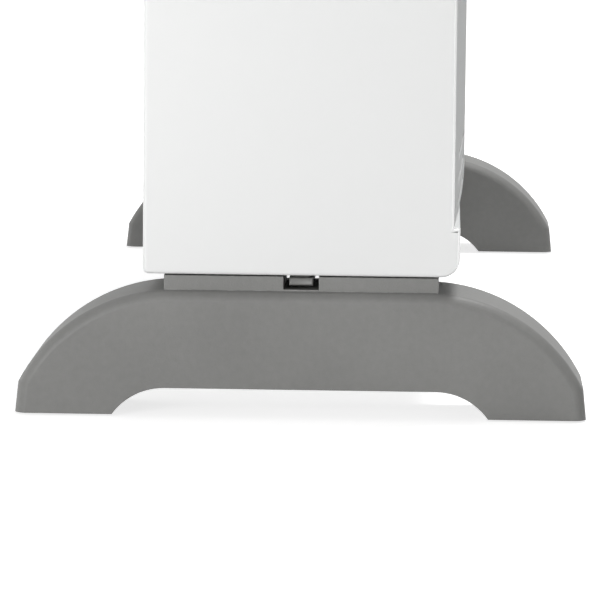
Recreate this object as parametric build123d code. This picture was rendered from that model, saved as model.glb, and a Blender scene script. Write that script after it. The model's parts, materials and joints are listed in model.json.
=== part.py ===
from build123d import *
import math
import os

os.makedirs("parts", exist_ok=True)

# Panel convector heater on two clip-on feet, in millimetres.
# X runs along the length, the front is -Y, Z is up. The origin is on the floor
# under the middle of the heater.

# Casing outline, seen along X
LENGTH = 530.0
HALF_LENGTH = LENGTH / 2
BASE_Z = 50.5
TOP_Z = 430.0
REAR_Y = 55.1
FRONT_Y = -53.0
TOE_Y = -55.2
TOE_Z = BASE_Z + 17.0
REAR_BASE_R = 2.0
REAR_TOP_R = 8.0
FRONT_TOP_R = 12.0
TOE_TOP_R = 0.8
TOE_BASE_R = 6.5

# Folded sheets and the gaps between neighbouring pieces
SHEET = 0.9
SEAM = 0.3
FIT_GAP = 0.1
RETURN_DEPTH = 12.0
LEDGE_REACH = 4.0

# Top opening for the grille and the control panel
OPENING_FRONT_Y = -38.0
OPENING_REAR_Y = 44.0

# Bowed front panel
BOW = 4.4
PANEL_BOTTOM_Z = TOE_Z + SEAM
BOTTOM_FLANGE_Y = -47.0
LOUVRE_LENGTH = 98.0
LOUVRE_PITCH_X = 110.0
LOUVRE_COLUMNS = 4
LOUVRE_TOP_Z = TOE_Z + 21.7
LOUVRE_PITCH_Z = 8.2
LOUVRE_ROWS = 3
LOUVRE_R = 3.0

# End caps
CAP_FACE = 2.5
CAP_RIM = 6.0
CAP_EDGE = 0.7
TONGUE_GAP = 0.3
TONGUE_WALL = 1.8
TONGUE_REACH = 8.0
GRIP_WIDTH = 78.0
GRIP_HEIGHT = 24.0
GRIP_DEPTH = 17.0
GRIP_Z = TOP_Z - 100.0
GRIP_WALL = 2.2
GRIP_CORNER_R = 8.0

# Base tray
TRAY_REAR_Z = BASE_Z + 6.7
TRAY_UPSTAND_Z = BASE_Z + 18.7
TRAY_LEDGE_Y = -48.0
INLET_LENGTH = 28.0
INLET_WIDTH = 8.0
INLET_PITCH = 28.0
INLET_COUNT = 14
INLET_ROW_Y = 22.0

# Rear panel
REAR_SLOT_LENGTH = 44.0
REAR_SLOT_WIDTH = 5.0
REAR_SLOT_PITCH_X = 54.0
REAR_SLOT_PITCH_Z = 11.0
REAR_SLOT_COLUMNS = 7
REAR_SLOT_ROWS = 4
REAR_SLOT_LOW_Z = 80.0
REAR_SLOT_START_X = -HALF_LENGTH + 57.0
KEYHOLE_SPACING = 300.0
KEYHOLE_Z = TOP_Z - 58.0
KEYHOLE_ENTRY_R = 5.0
KEYHOLE_SLOT_R = 2.6
KEYHOLE_RISE = 9.0

# Feet
FOOT_DEPTH = 200.0
FOOT_THICKNESS = 40.0
FOOT_TOP_Z = 44.6
FOOT_TOP_HALF = 44.5
FOOT_ARC_R = 61.2
SHOULDER_Y = 98.9
FOOT_EDGE = 2.6
FOOT_WALL = 3.0
ARCH_Z = 10.3
ARCH_HALF = 47.3
ARCH_R = 22.7
BLOCK_HALF = 47.9
BLOCK_TOP_Z = BASE_Z - 0.8
BLOCK_SETBACK = 3.5
BEARING_RIB = 3.0
PAD_LENGTH = 22.0
PAD_WIDTH = 24.0
PAD_Y = 83.0
PAD_PROUD = 0.8
PAD_RECESS = 1.6
PAD_CORNER = 3.7
FOOT_RIB = 2.0
FOOT_RIB_PITCH = 40.0

# Foot hooks and the T-slots in the tray that take them
HOOK_Y = 32.0
HOOK_LENGTH = 8.0
HOOK_STEM = 4.0
HOOK_HEAD = 9.0
HOOK_HEAD_Z = 2.8
HOOK_X = HALF_LENGTH - 19.0
FOOT_TRAVEL = 12.0
SLOT_GAP = 0.3

# Catch lever in the channel of each foot
CHANNEL_HALF = 6.2
CHANNEL_FLOOR_Z = BASE_Z - 5.4
CATCH_HALF = 4.15
CATCH_BOTTOM_Z = BASE_Z - 3.9
CATCH_TOP_Z = BASE_Z - 1.3
CATCH_PIVOT_X = HALF_LENGTH - 32.0
CATCH_PIVOT_Z = BASE_Z - 2.6
CATCH_TAIL = 2.4
CATCH_SETBACK = 0.4
CATCH_EDGE = 0.5
TRUNNION_R = 1.1
TRUNNION_SEAT = 1.5
RUNNING_GAP = 0.06
TOOTH_X = HALF_LENGTH - 12.8
TOOTH_LENGTH = 10.0
TOOTH_HALF = 3.0
TOOTH_RISE = 0.75
TOOTH_TOE_DROP = 0.15

# Top grille and control panel
GRILLE_SPLIT_X = HALF_LENGTH - 93.0
GRILLE_HEIGHT = 11.7
FRAME_WALL = 3.0
SLAT = 1.6
SLAT_HEIGHT = 9.0
SLAT_PITCH = 8.4
SLAT_TILT = 28.0
SLAT_COUNT = 9
CROSS_RIB = 2.0
CROSS_RIB_COUNT = 4
FRAME_CHAMFER = 0.6
PLATE = 2.5
DISH_R = 21.0
DISH_DEPTH = 1.0

# Thermostat, its knob and the switches
KNOB_X = HALF_LENGTH - 35.0
KNOB_R = 17.0
KNOB_GAP = 0.6
KNOB_HEIGHT = 12.4
KNOB_TOP_Z = TOP_Z + KNOB_GAP + KNOB_HEIGHT
KNOB_WALL = 2.0
KNOB_ROOF = 3.0
KNOB_SKIRT = 3.0
KNOB_EDGE = 0.8
KNOB_FLUTES = 16
FLUTE_DEPTH = 1.1
SPINDLE_R = 3.0
SPINDLE_FLAT = 1.0
BUSH_R = 4.75
NUT_R = 6.6
NUT_HEIGHT = 1.8
THERMOSTAT_SIZE = 32.0
THERMOSTAT_HEIGHT = 17.0
THERMOSTAT_DROP = 9.0
THERMOSTAT_CORNER = 3.0
SWITCH_X = KNOB_X - 40.0
SWITCH_SPACING = 28.0
SWITCH_SHIFT_Y = -3.0
BEZEL_LENGTH = 21.0
BEZEL_WIDTH = 15.0
BEZEL_PROUD = 1.4
BEZEL_CORNER = 1.0
SWITCH_BODY_LENGTH = 19.0
SWITCH_BODY_WIDTH = 13.0
SWITCH_DEPTH = 15.0
ROCKER_R = 8.0
ROCKER_WIDTH = 10.4
ROCKER_GAP = 0.3
ROCKER_TILT = 7.0
ROCKER_PEAK = 2.6
ROCKER_FACE_TILT = 9.0
ROCKER_DEPTH = 3.4
ROCKER_PIN_R = 1.0
ROCKER_PIN = 1.0
TAB_WIDTH = 6.4
TAB_THICKNESS = 0.8
TAB_LENGTH = 7.0
TAB_PITCH = 5.5
LENS_R = 3.0
LENS_Y = 35.5
LENS_BARREL = 12.0
LENS_CAP = 1.6
LENS_CAP_R = 4.0
LENS_SIDES = 12

# Heating chamber
PARTITION_X = HALF_LENGTH - 99.0
PARTITION_TOP_Z = TOP_Z - 14.0
PARTITION_FRONT_Y = -46.0
PARTITION_REAR_Y = 49.0
PARTITION_FLANGE = 12.0
WIRE_HOLE_R = 7.0
WIRE_HOLE_Y = 20.0
WIRE_HOLE_Z = 200.0
VENT_FRONT_Y = -30.0
VENT_REAR_Y = 20.0
VENT_HEIGHT = 5.0
VENT_PITCH = 20.0
VENT_TOP_Z = TOP_Z - 60.0
ELEMENT_Y = -8.0
ELEMENT_Z = 150.0
BRACKET_X = -HALF_LENGTH + 43.0
ELEMENT_START_X = BRACKET_X + 17.0
ELEMENT_END_X = PARTITION_X - 26.0
ELEMENT_CORE_R = 7.0
ELEMENT_ARM = 26.0
ELEMENT_ARM_WALL = 2.4
ELEMENT_NOTCH = 1.6
ELEMENT_NOTCH_PITCH = 28.75
ELEMENT_NOTCH_R = 11.0
SHEATH_R = 4.0
SHEATH_GAP = 0.1
INSULATOR_HALF = 6.5
INSULATOR_FLANGE_HALF = 9.5
INSULATOR_REACH = 6.0
INSULATOR_FLANGE_REACH = 4.0
STUD_R = 1.6
STUD_REACH = 21.0
STUD_SHARE = 0.4
BRACKET_HALF = 24.0
BRACKET_CORNER_R = 10.0
BRACKET_EDGE = 10.0
BRACKET_TOP_Z = 172.0
DEFLECTOR_Y = 34.0
DEFLECTOR_BOTTOM_Z = 140.0
DEFLECTOR_TOP_Z = TOP_Z - 38.0
DEFLECTOR_START_X = -HALF_LENGTH + 21.0
DEFLECTOR_END_X = PARTITION_X - 3.0
DEFLECTOR_FLANGE = 14.0
DEFLECTOR_HOLE_R = 8.0
CUTOUT_X = 40.0
CUTOUT_Z = 262.0
CUTOUT_R = 8.0
CUTOUT_DEPTH = 9.0
STRAP_HALF = 19.0
STRAP_HALF_HEIGHT = 5.0
STRAP = 1.0
CUTOUT_TAB_SHIFT = 4.0

# Cable inlet and terminals
INLET_X = HALF_LENGTH - 51.0
INLET_Z = 84.0
INLET_BORE_R = 3.9
INLET_BODY = 16.0
INLET_FLANGE_SIZE = 22.0
INLET_FLANGE = 3.0
INLET_REACH = 15.0
INLET_LIP_SIZE = 19.0
INLET_LIP = 2.5
INLET_CORNER = 3.0
BLOCK_X = HALF_LENGTH - 53.0
BLOCK_FRONT_Y = 2.0
BLOCK_REAR_Y = 20.0
BLOCK_HALF_X = 18.0
BLOCK_BASE = 4.0
TERMINAL_STEP = 12.0
TERMINAL_HALF = 5.0
TERMINAL_HEIGHT = 17.0
TERMINAL_HOLE_Z = 10.0
TERMINAL_ENTRY_Y = 7.0
TERMINAL_SCREW_Y = 15.0
TERMINAL_SCREW_HALF = 2.4
WIRE_R = 1.3
WIRE_BEND = 9.0
WIRE_RISE = 40.0
WIRE_STUB = 18.0
WIRE_DROP = 80.0
WIRE_STEP = 10.0
WIRE_SIDES = 6

# Screws
SCREW_R = 1.5
SCREW_HEAD_R = 3.2
SCREW_HEAD = 1.7
SCREW_LENGTH = 9.0
SCREW_GAP = 0.1
SCREW_SIDES = 12
CAP_SCREW_INSET = 9.5
CAP_SCREW_LOW_Z = 175.0
CAP_SCREW_HIGH_Z = TOP_Z - 40.0
TRAY_SCREW_XS = (-120.0, 0.0, 120.0)
TRAY_SCREW_Z = BASE_Z + 13.0

SHEET_END = HALF_LENGTH - CAP_RIM - FIT_GAP
CAP_SCREW_HEIGHTS = (CAP_SCREW_LOW_Z, (CAP_SCREW_LOW_Z + CAP_SCREW_HIGH_Z) / 2, CAP_SCREW_HIGH_Z)
BOW_R = ((HALF_LENGTH - CAP_RIM) ** 2 + BOW**2) / (2 * BOW)
FLOOR_Z = BASE_Z + SHEET
OPENING_MID_Y = (OPENING_FRONT_Y + OPENING_REAR_Y) / 2
LEDGE_Z = TOP_Z - RETURN_DEPTH


def span_box(x0, x1, y0, y1, z0, z1):
    """Box between two values on each axis."""
    middle = Pos((x0 + x1) / 2, (y0 + y1) / 2, (z0 + z1) / 2)
    return middle * Box(x1 - x0, y1 - y0, z1 - z0)


def span_rect(y0, y1, z0, z1):
    """Rectangle in the end view."""
    return Pos((y0 + y1) / 2, (z0 + z1) / 2) * Rectangle(y1 - y0, z1 - z0)


def prism_x(face, x0, x1):
    """End-view face pushed along the length."""
    return extrude(Plane.YZ.offset(x0) * face, amount=x1 - x0)


def rod_x(radius, x0, x1, y, z):
    """Round bar along the length."""
    return Pos((x0 + x1) / 2, y, z) * Cylinder(radius, x1 - x0, rotation=(0, 90, 0))


def rod_y(radius, y0, y1, x, z):
    """Round bar across the depth."""
    return Pos(x, (y0 + y1) / 2, z) * Cylinder(radius, y1 - y0, rotation=(90, 0, 0))


def rod_z(radius, z0, z1, x, y):
    """Upright round bar."""
    return Pos(x, y, (z0 + z1) / 2) * Cylinder(radius, z1 - z0)


def casing_outline(inset):
    """Casing section in the end view, drawn in from the outer skin."""
    points = [
        (REAR_Y - inset, BASE_Z + inset),
        (REAR_Y - inset, TOP_Z - inset),
        (FRONT_Y + inset, TOP_Z - inset),
        (FRONT_Y + inset, TOE_Z - inset),
        (TOE_Y + inset, TOE_Z - inset),
        (TOE_Y + inset, BASE_Z + inset),
    ]
    corners = (REAR_BASE_R, REAR_TOP_R, FRONT_TOP_R, 0, TOE_TOP_R, TOE_BASE_R)
    radii = [max(radius - inset, 0) for radius in corners]
    return make_face(FilletPolyline(points, radius=radii, close=True))


def casing_skin():
    """Sheet thickness all round the casing section."""
    return casing_outline(0) - casing_outline(SHEET)


def bow_y(x):
    """Front panel's outer face at a place along the length."""
    return FRONT_Y - BOW + BOW_R - math.sqrt(BOW_R**2 - x**2)


def bowed_block(inset, rear_y):
    """Solid behind the bowed front face, with its rolled top edge."""
    reach = HALF_LENGTH
    left = (-reach, bow_y(reach) + inset)
    right = (reach, bow_y(reach) + inset)
    front = ThreePointArc(left, (0, bow_y(0) + inset), right)
    sides = Polyline(right, (reach, rear_y), (-reach, rear_y), left)
    base = Pos(0, 0, PANEL_BOTTOM_Z + inset) * make_face(front + sides)
    block = extrude(base, amount=TOP_Z - PANEL_BOTTOM_Z - 2 * inset)
    top_edges = block.faces().sort_by(Axis.Z)[-1].edges()
    return fillet(top_edges.sort_by(Axis.Y)[0], FRONT_TOP_R - inset)


def louvre_places():
    """Centre of each louvre's sheared top edge, turned to the bow."""
    places = []
    for column in range(LOUVRE_COLUMNS):
        x = (column - (LOUVRE_COLUMNS - 1) / 2) * LOUVRE_PITCH_X
        turn = math.degrees(math.asin(x / BOW_R))
        for row in range(LOUVRE_ROWS):
            z = LOUVRE_TOP_Z - row * LOUVRE_PITCH_Z
            places.append(Location((x, bow_y(x), z), (0, 0, turn)))
    return places


def louvre_section(radius, start_y):
    """Quarter disc below and behind the sheared edge, from start_y inward."""
    half = math.sqrt(0.5) * radius
    curve = ThreePointArc((0, -radius), (half, -half), (radius, 0))
    quarter = make_face(curve + Polyline((radius, 0), (0, 0), (0, -radius)))
    if start_y < 0:
        return quarter + span_rect(start_y, 0, -radius, 0)
    return quarter - span_rect(0, start_y, -radius, 0)


def louvre_scoop(radius, start_y):
    """Pressed louvre as a bar behind its sheared edge."""
    half = LOUVRE_LENGTH / 2 + radius - LOUVRE_R
    return prism_x(louvre_section(radius, start_y), -half, half)


def front_panel():
    """Bowed steel front with rolled top edge and inward-pressed louvres."""
    panel = bowed_block(0, OPENING_FRONT_Y) - bowed_block(SHEET, OPENING_FRONT_Y - SHEET)
    flange_top = LEDGE_Z - SHEET
    panel -= span_box(-LENGTH, LENGTH, BOTTOM_FLANGE_Y, 0, 0, flange_top)
    ledge = span_box(-LENGTH, LENGTH, OPENING_FRONT_Y - SHEET, OPENING_FRONT_Y + LEDGE_REACH,
                     flange_top, LEDGE_Z)
    panel = (panel + ledge) & span_box(-SHEET_END, SHEET_END, -LENGTH, 0, 0, LENGTH)
    hollow = louvre_scoop(LOUVRE_R, -1)
    shell = louvre_scoop(LOUVRE_R + SHEET, SHEET / 2) - hollow
    for place in louvre_places():
        panel = panel - place * hollow + place * shell
    return panel


def cut_corner_rect(length, width, corner):
    """Rectangle with its four corners cut off."""
    face = Rectangle(length, width)
    return chamfer(face.vertices(), corner)


def rear_slots():
    """Inlet slots of the rear panel, as cutters."""
    slot = Box(REAR_SLOT_LENGTH, 4 * SHEET, REAR_SLOT_WIDTH)
    cutters = []
    for column in range(REAR_SLOT_COLUMNS):
        for row in range(REAR_SLOT_ROWS):
            x = REAR_SLOT_START_X + column * REAR_SLOT_PITCH_X
            z = REAR_SLOT_LOW_Z + row * REAR_SLOT_PITCH_Z
            cutters.append(Pos(x, REAR_Y - SHEET / 2, z) * slot)
    return cutters


def keyhole(x):
    """Hanging keyhole: round entry below, narrow slot above."""
    y0 = REAR_Y - 2 * SHEET
    y1 = REAR_Y + SHEET
    entry = rod_y(KEYHOLE_ENTRY_R, y0, y1, x, KEYHOLE_Z)
    neck = span_box(x - KEYHOLE_SLOT_R, x + KEYHOLE_SLOT_R, y0, y1, KEYHOLE_Z, KEYHOLE_Z + KEYHOLE_RISE)
    return entry + neck + rod_y(KEYHOLE_SLOT_R, y0, y1, x, KEYHOLE_Z + KEYHOLE_RISE)


def screw_places():
    """Rear screws: side, X and Z of each one."""
    cap_x = HALF_LENGTH - CAP_SCREW_INSET
    left = [(-cap_x, z) for z in CAP_SCREW_HEIGHTS]
    right = [(cap_x, z) for z in CAP_SCREW_HEIGHTS]
    tray = [(x, TRAY_SCREW_Z) for x in TRAY_SCREW_XS]
    return left, right, tray


def screw_hole(x, z):
    """Clearance hole for one rear screw, hidden under its head."""
    face = Pos(x, z) * RegularPolygon(SCREW_R + SCREW_GAP, SCREW_SIDES // 2)
    return extrude(Plane.XZ.offset(-REAR_Y - 1) * face, amount=SCREW_LENGTH)


def rear_panel():
    """Flat rear sheet with rolled top, keyholes and inlet slots."""
    keep = span_rect(OPENING_REAR_Y, REAR_Y, TRAY_REAR_Z + SEAM, TOP_Z)
    section = casing_skin() & keep
    section += span_rect(OPENING_REAR_Y, OPENING_REAR_Y + SHEET, LEDGE_Z - SHEET, TOP_Z - SHEET / 2)
    section += span_rect(OPENING_REAR_Y - LEDGE_REACH, OPENING_REAR_Y + SHEET, LEDGE_Z - SHEET, LEDGE_Z)
    panel = prism_x(section, -SHEET_END, SHEET_END) - rear_slots()
    panel -= keyhole(-KEYHOLE_SPACING / 2) + keyhole(KEYHOLE_SPACING / 2)
    panel -= inlet_prism(INLET_BODY + 2 * SCREW_GAP, 0, LENGTH)
    for group in screw_places():
        for x, z in group:
            panel -= screw_hole(x, z)
    return panel


def foot_slots():
    """T-slots and catch hole for the left foot."""
    low, high = BASE_Z - 1, FLOOR_Z + 1
    start = -HOOK_X - HOOK_LENGTH / 2 - SLOT_GAP
    wide_start = start + FOOT_TRAVEL
    wide_end = wide_start + HOOK_LENGTH + 2 * SLOT_GAP
    stem = HOOK_STEM / 2 + SLOT_GAP
    head = HOOK_HEAD / 2 + SLOT_GAP
    cutters = []
    for side in (-HOOK_Y, HOOK_Y):
        cutters.append(span_box(start, wide_start + 1, side - stem, side + stem, low, high))
        cutters.append(span_box(wide_start, wide_end, side - head, side + head, low, high))
    tooth = TOOTH_HALF + SLOT_GAP
    reach = TOOTH_LENGTH / 2 + SLOT_GAP
    cutters.append(span_box(-TOOTH_X - reach, -TOOTH_X + reach, -tooth, tooth, low, high))
    return cutters


def base_tray():
    """Folded bottom tray with toe, ledge, rear upstand and openings."""
    section = casing_skin() & span_rect(TOE_Y, REAR_Y, BASE_Z, TOE_Z)
    section -= span_rect(0, REAR_Y, TRAY_REAR_Z, TOP_Z)
    section += span_rect(TOE_Y + TOE_TOP_R, TRAY_LEDGE_Y, TOE_Z - SHEET, TOE_Z)
    upstand_y = REAR_Y - SHEET - FIT_GAP
    section += span_rect(upstand_y - SHEET, upstand_y, BASE_Z + SHEET / 2, TRAY_UPSTAND_Z)
    tray = prism_x(section, -SHEET_END, SHEET_END)
    inlet = Rectangle(INLET_WIDTH, INLET_LENGTH)
    slots = []
    for index in range(INLET_COUNT):
        x = (index - (INLET_COUNT - 1) / 2) * INLET_PITCH
        for y in (-INLET_ROW_Y, INLET_ROW_Y):
            slots.append(Pos(x, y, BASE_Z - 1) * extrude(inlet, amount=SHEET + 2))
    tray -= slots
    left = foot_slots()
    tray -= left + [mirror(cutter, about=Plane.YZ) for cutter in left]
    for x, z in screw_places()[2]:
        tray -= screw_hole(x, z)
    return tray


def rounded_block(x0, x1, y0, y1, z0, z1, radius):
    """Pocket shape with rounded corners in the end view."""
    face = Pos((y0 + y1) / 2, (z0 + z1) / 2) * RectangleRounded(y1 - y0, z1 - z0, radius)
    return prism_x(face, x0, x1)


def end_cap():
    """Left cap: face, rim, inner tongue and finger grip."""
    outer_x = -HALF_LENGTH
    rim_x = outer_x + CAP_RIM
    cap = prism_x(casing_outline(0), outer_x, rim_x)
    cap = chamfer(cap.faces().sort_by(Axis.X)[0].edges(), CAP_EDGE)
    cap -= prism_x(casing_outline(CAP_FACE), outer_x + CAP_FACE, rim_x)
    outer = SHEET + TONGUE_GAP
    ring = casing_outline(outer) - casing_outline(outer + TONGUE_WALL)
    ring -= span_rect(OPENING_FRONT_Y - 2, OPENING_REAR_Y + 2, TOP_Z / 2, TOP_Z)
    tongue = prism_x(ring, outer_x + CAP_FACE, rim_x + TONGUE_REACH)
    tongue -= span_box(-LENGTH, 0, -LENGTH, BOTTOM_FLANGE_Y + SEAM, 0, PANEL_BOTTOM_Z + SHEET + SEAM)
    upstand_y = REAR_Y - 2 * SHEET - FIT_GAP
    cap += tongue - span_box(-LENGTH, 0, upstand_y - SEAM, REAR_Y, 0, TRAY_UPSTAND_Z + SEAM)
    for _, z in screw_places()[0]:
        x = -HALF_LENGTH + CAP_SCREW_INSET
        cap -= screw_hole(x, z)
    return cap_grip(cap, outer_x)


def cap_grip(cap, outer_x):
    """Finger recess moulded into the cap's face."""
    y0 = -GRIP_WIDTH / 2
    y1 = GRIP_WIDTH / 2
    z0 = GRIP_Z - GRIP_HEIGHT / 2
    z1 = GRIP_Z + GRIP_HEIGHT / 2
    depth = outer_x + GRIP_DEPTH
    wall = GRIP_WALL
    cup = rounded_block(outer_x + CAP_FACE / 2, depth + wall, y0 - wall, y1 + wall, z0 - wall, z1 + wall,
                        GRIP_CORNER_R + wall)
    pocket = rounded_block(outer_x - 1, depth, y0, y1, z0, z1, GRIP_CORNER_R)
    return cap + cup - pocket


def foot_half_outline():
    """Rear half of the foot's face, walked from the top middle."""
    centre_z = FOOT_TOP_Z - FOOT_ARC_R
    shoulder_z = centre_z + math.sqrt(FOOT_ARC_R**2 - (SHOULDER_Y - FOOT_TOP_HALF) ** 2)
    half_turn = math.atan2(shoulder_z - centre_z, SHOULDER_Y - FOOT_TOP_HALF)
    middle = (math.pi / 2 + half_turn) / 2
    on_arc = (FOOT_TOP_HALF + FOOT_ARC_R * math.cos(middle), centre_z + FOOT_ARC_R * math.sin(middle))
    return (SHOULDER_Y, shoulder_z), on_arc


def arch_points():
    """Points of the rear half of the arch under the foot."""
    centre_z = ARCH_Z - ARCH_R
    foot_y = ARCH_HALF + math.sqrt(ARCH_R**2 - (centre_z - PAD_PROUD) ** 2)
    angle = (math.pi / 2 + math.atan2(PAD_PROUD - centre_z, foot_y - ARCH_HALF)) / 2
    on_arc = (ARCH_HALF + ARCH_R * math.cos(angle), centre_z + ARCH_R * math.sin(angle))
    return (foot_y, PAD_PROUD), on_arc


def mirrored(point):
    """The same point on the front half."""
    return (-point[0], point[1])


def foot_outline():
    """Whole face of the foot, with the arch left filled."""
    shoulder, on_arc = foot_half_outline()
    top = (FOOT_TOP_HALF, FOOT_TOP_Z)
    ground = (FOOT_DEPTH / 2, PAD_PROUD)
    lines = ThreePointArc(top, on_arc, shoulder) + Line(shoulder, ground)
    lines += Line(ground, mirrored(ground)) + Line(mirrored(ground), mirrored(shoulder))
    lines += ThreePointArc(mirrored(shoulder), mirrored(on_arc), mirrored(top)) + Line(mirrored(top), top)
    return make_face(lines)


def arch_face():
    """Open space under the middle of the foot."""
    end, on_arc = arch_points()
    top = (ARCH_HALF, ARCH_Z)
    lines = ThreePointArc(end, on_arc, top) + Line(top, mirrored(top))
    lines += ThreePointArc(mirrored(top), mirrored(on_arc), mirrored(end))
    lines += Polyline(mirrored(end), (-end[0], -1), (end[0], -1), end)
    return make_face(lines)


def foot_shell():
    """Hollow moulding, open below, with cross ribs."""
    x0 = -HALF_LENGTH
    x1 = x0 + FOOT_THICKNESS
    face = foot_outline()
    body = prism_x(face, x0, x1)
    sides = body.faces().sort_by(Axis.X)
    rims = [edge for edge in sides[0].edges() + sides[-1].edges() if edge.center().Z > PAD_PROUD + 0.1]
    body = chamfer(rims, FOOT_EDGE)
    hollow = prism_x(offset(face, amount=-FOOT_WALL), x0 + FOOT_WALL, x1 - FOOT_WALL)
    hollow -= span_box(-LENGTH, 0, -FOOT_DEPTH, -PAD_Y + PAD_LENGTH / 2, 0, ARCH_Z / 2)
    hollow -= span_box(-LENGTH, 0, PAD_Y - PAD_LENGTH / 2, FOOT_DEPTH, 0, ARCH_Z / 2)
    for index in range(-1, 2):
        y = index * FOOT_RIB_PITCH
        hollow -= span_box(-LENGTH, 0, y - FOOT_RIB / 2, y + FOOT_RIB / 2, 0, FOOT_TOP_Z)
    body -= hollow
    return body - prism_x(arch_face(), x0 - 1, x1 + 1)


def foot_hooks():
    """Two T-hooks that lock under the tray."""
    x0 = -HOOK_X - HOOK_LENGTH / 2
    x1 = x0 + HOOK_LENGTH
    head_z = FLOOR_Z + SLOT_GAP / 2
    parts = Part()
    for y in (-HOOK_Y, HOOK_Y):
        parts += span_box(x0, x1, y - HOOK_STEM / 2, y + HOOK_STEM / 2, FOOT_TOP_Z, head_z)
        parts += span_box(x0, x1, y - HOOK_HEAD / 2, y + HOOK_HEAD / 2, head_z, head_z + HOOK_HEAD_Z)
    return parts


def foot():
    """Left foot with its block, bearing ribs, hooks and catch channel."""
    x0 = -HALF_LENGTH + BLOCK_SETBACK
    x1 = -HALF_LENGTH + FOOT_THICKNESS - BLOCK_SETBACK
    block = span_box(x0, x1, -BLOCK_HALF, BLOCK_HALF, FOOT_TOP_Z - FOOT_WALL / 2, BLOCK_TOP_Z)
    rib_x = -HOOK_X - HOOK_LENGTH / 2 - BEARING_RIB
    bearing_top = BASE_Z - RUNNING_GAP
    for x in (rib_x, x1 - BEARING_RIB - 1):
        block += span_box(x, x + BEARING_RIB, -BLOCK_HALF + 1, BLOCK_HALF - 1, BLOCK_TOP_Z - 1, bearing_top)
    block += foot_hooks()
    result = foot_shell() + block
    result -= span_box(x0 - 1, x1 + 1, -CHANNEL_HALF, CHANNEL_HALF, CHANNEL_FLOOR_Z, FOOT_TOP_Z + LENGTH)
    seat = CHANNEL_HALF + TRUNNION_SEAT + RUNNING_GAP
    result -= rod_y(TRUNNION_R + RUNNING_GAP, -seat, seat, -CATCH_PIVOT_X, CATCH_PIVOT_Z)
    for y in (-PAD_Y, PAD_Y):
        result -= pad(y, SEAM / 2)
    return result


def pad(y, gap):
    """Rubber pad block, grown by gap for its seat."""
    x = -HALF_LENGTH + FOOT_THICKNESS / 2
    shape = cut_corner_rect(PAD_WIDTH + 2 * gap, PAD_LENGTH + 2 * gap, PAD_CORNER)
    return Pos(x, y, 0) * extrude(shape, amount=PAD_PROUD + PAD_RECESS + gap)


def foot_pads():
    """Two anti-slip pads of the left foot."""
    return Compound(children=[pad(y, 0) for y in (-PAD_Y, PAD_Y)])


def foot_catch():
    """Left catch lever: thumb end, trunnions and a tooth whose ramp rides down as the foot slides."""
    tip = -HALF_LENGTH + BLOCK_SETBACK + CATCH_SETBACK
    tail = -CATCH_PIVOT_X + CATCH_TAIL
    lever = span_box(tip, tail, -CATCH_HALF, CATCH_HALF, CATCH_BOTTOM_Z, CATCH_TOP_Z)
    lever = chamfer(lever.faces().sort_by(Axis.X)[0].edges(), CATCH_EDGE)
    reach = CHANNEL_HALF + TRUNNION_SEAT
    lever += rod_y(TRUNNION_R, -reach, reach, -CATCH_PIVOT_X, CATCH_PIVOT_Z)
    x0 = -TOOTH_X - TOOTH_LENGTH / 2
    x1 = x0 + TOOTH_LENGTH
    root = CATCH_TOP_Z - SHEET
    crest = (x0, BASE_Z + TOOTH_RISE)
    toe = (x1, BASE_Z - TOOTH_TOE_DROP)
    ramp = Polyline((x0, root), crest, toe, (x1, root), close=True)
    return lever + extrude(Plane.XZ.offset(-TOOTH_HALF) * make_face(ramp), amount=2 * TOOTH_HALF)


def top_frame(x0, x1):
    """Rectangular frame that drops into the top opening."""
    y0 = OPENING_FRONT_Y + SEAM
    y1 = OPENING_REAR_Y - SEAM
    z0 = TOP_Z - GRILLE_HEIGHT
    return span_box(x0, x1, y0, y1, z0, TOP_Z)


def top_grille():
    """Outlet grille: frame, tilted slats and cross ribs."""
    x0 = -SHEET_END
    x1 = GRILLE_SPLIT_X
    frame = top_frame(x0, x1)
    frame = chamfer(frame.faces().sort_by(Axis.Z)[-1].edges(), FRAME_CHAMFER)
    y0 = OPENING_FRONT_Y + SEAM + FRAME_WALL
    y1 = OPENING_REAR_Y - SEAM - FRAME_WALL
    inside = span_box(x0 + FRAME_WALL, x1 - FRAME_WALL, y0, y1, 0, LENGTH)
    grille = frame - inside
    mid_z = TOP_Z - GRILLE_HEIGHT / 2
    slat_face = Rot(0, 0, SLAT_TILT) * Rectangle(SLAT, SLAT_HEIGHT)
    start = OPENING_MID_Y - (SLAT_COUNT - 1) / 2 * SLAT_PITCH
    for index in range(SLAT_COUNT):
        y = start + index * SLAT_PITCH
        grille += prism_x(Pos(y, mid_z) * slat_face, x0 + FRAME_WALL / 2, x1 - FRAME_WALL / 2)
    pitch = (x1 - x0) / (CROSS_RIB_COUNT + 1)
    for index in range(CROSS_RIB_COUNT):
        x = x0 + (index + 1) * pitch
        grille += span_box(x - CROSS_RIB / 2, x + CROSS_RIB / 2, y0 - 1, y1 + 1,
                           TOP_Z - GRILLE_HEIGHT, mid_z + 1)
    return grille


def switch_ys():
    """Places of the two switches across the depth."""
    middle = OPENING_MID_Y + SWITCH_SHIFT_Y
    return middle - SWITCH_SPACING / 2, middle + SWITCH_SPACING / 2


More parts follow.
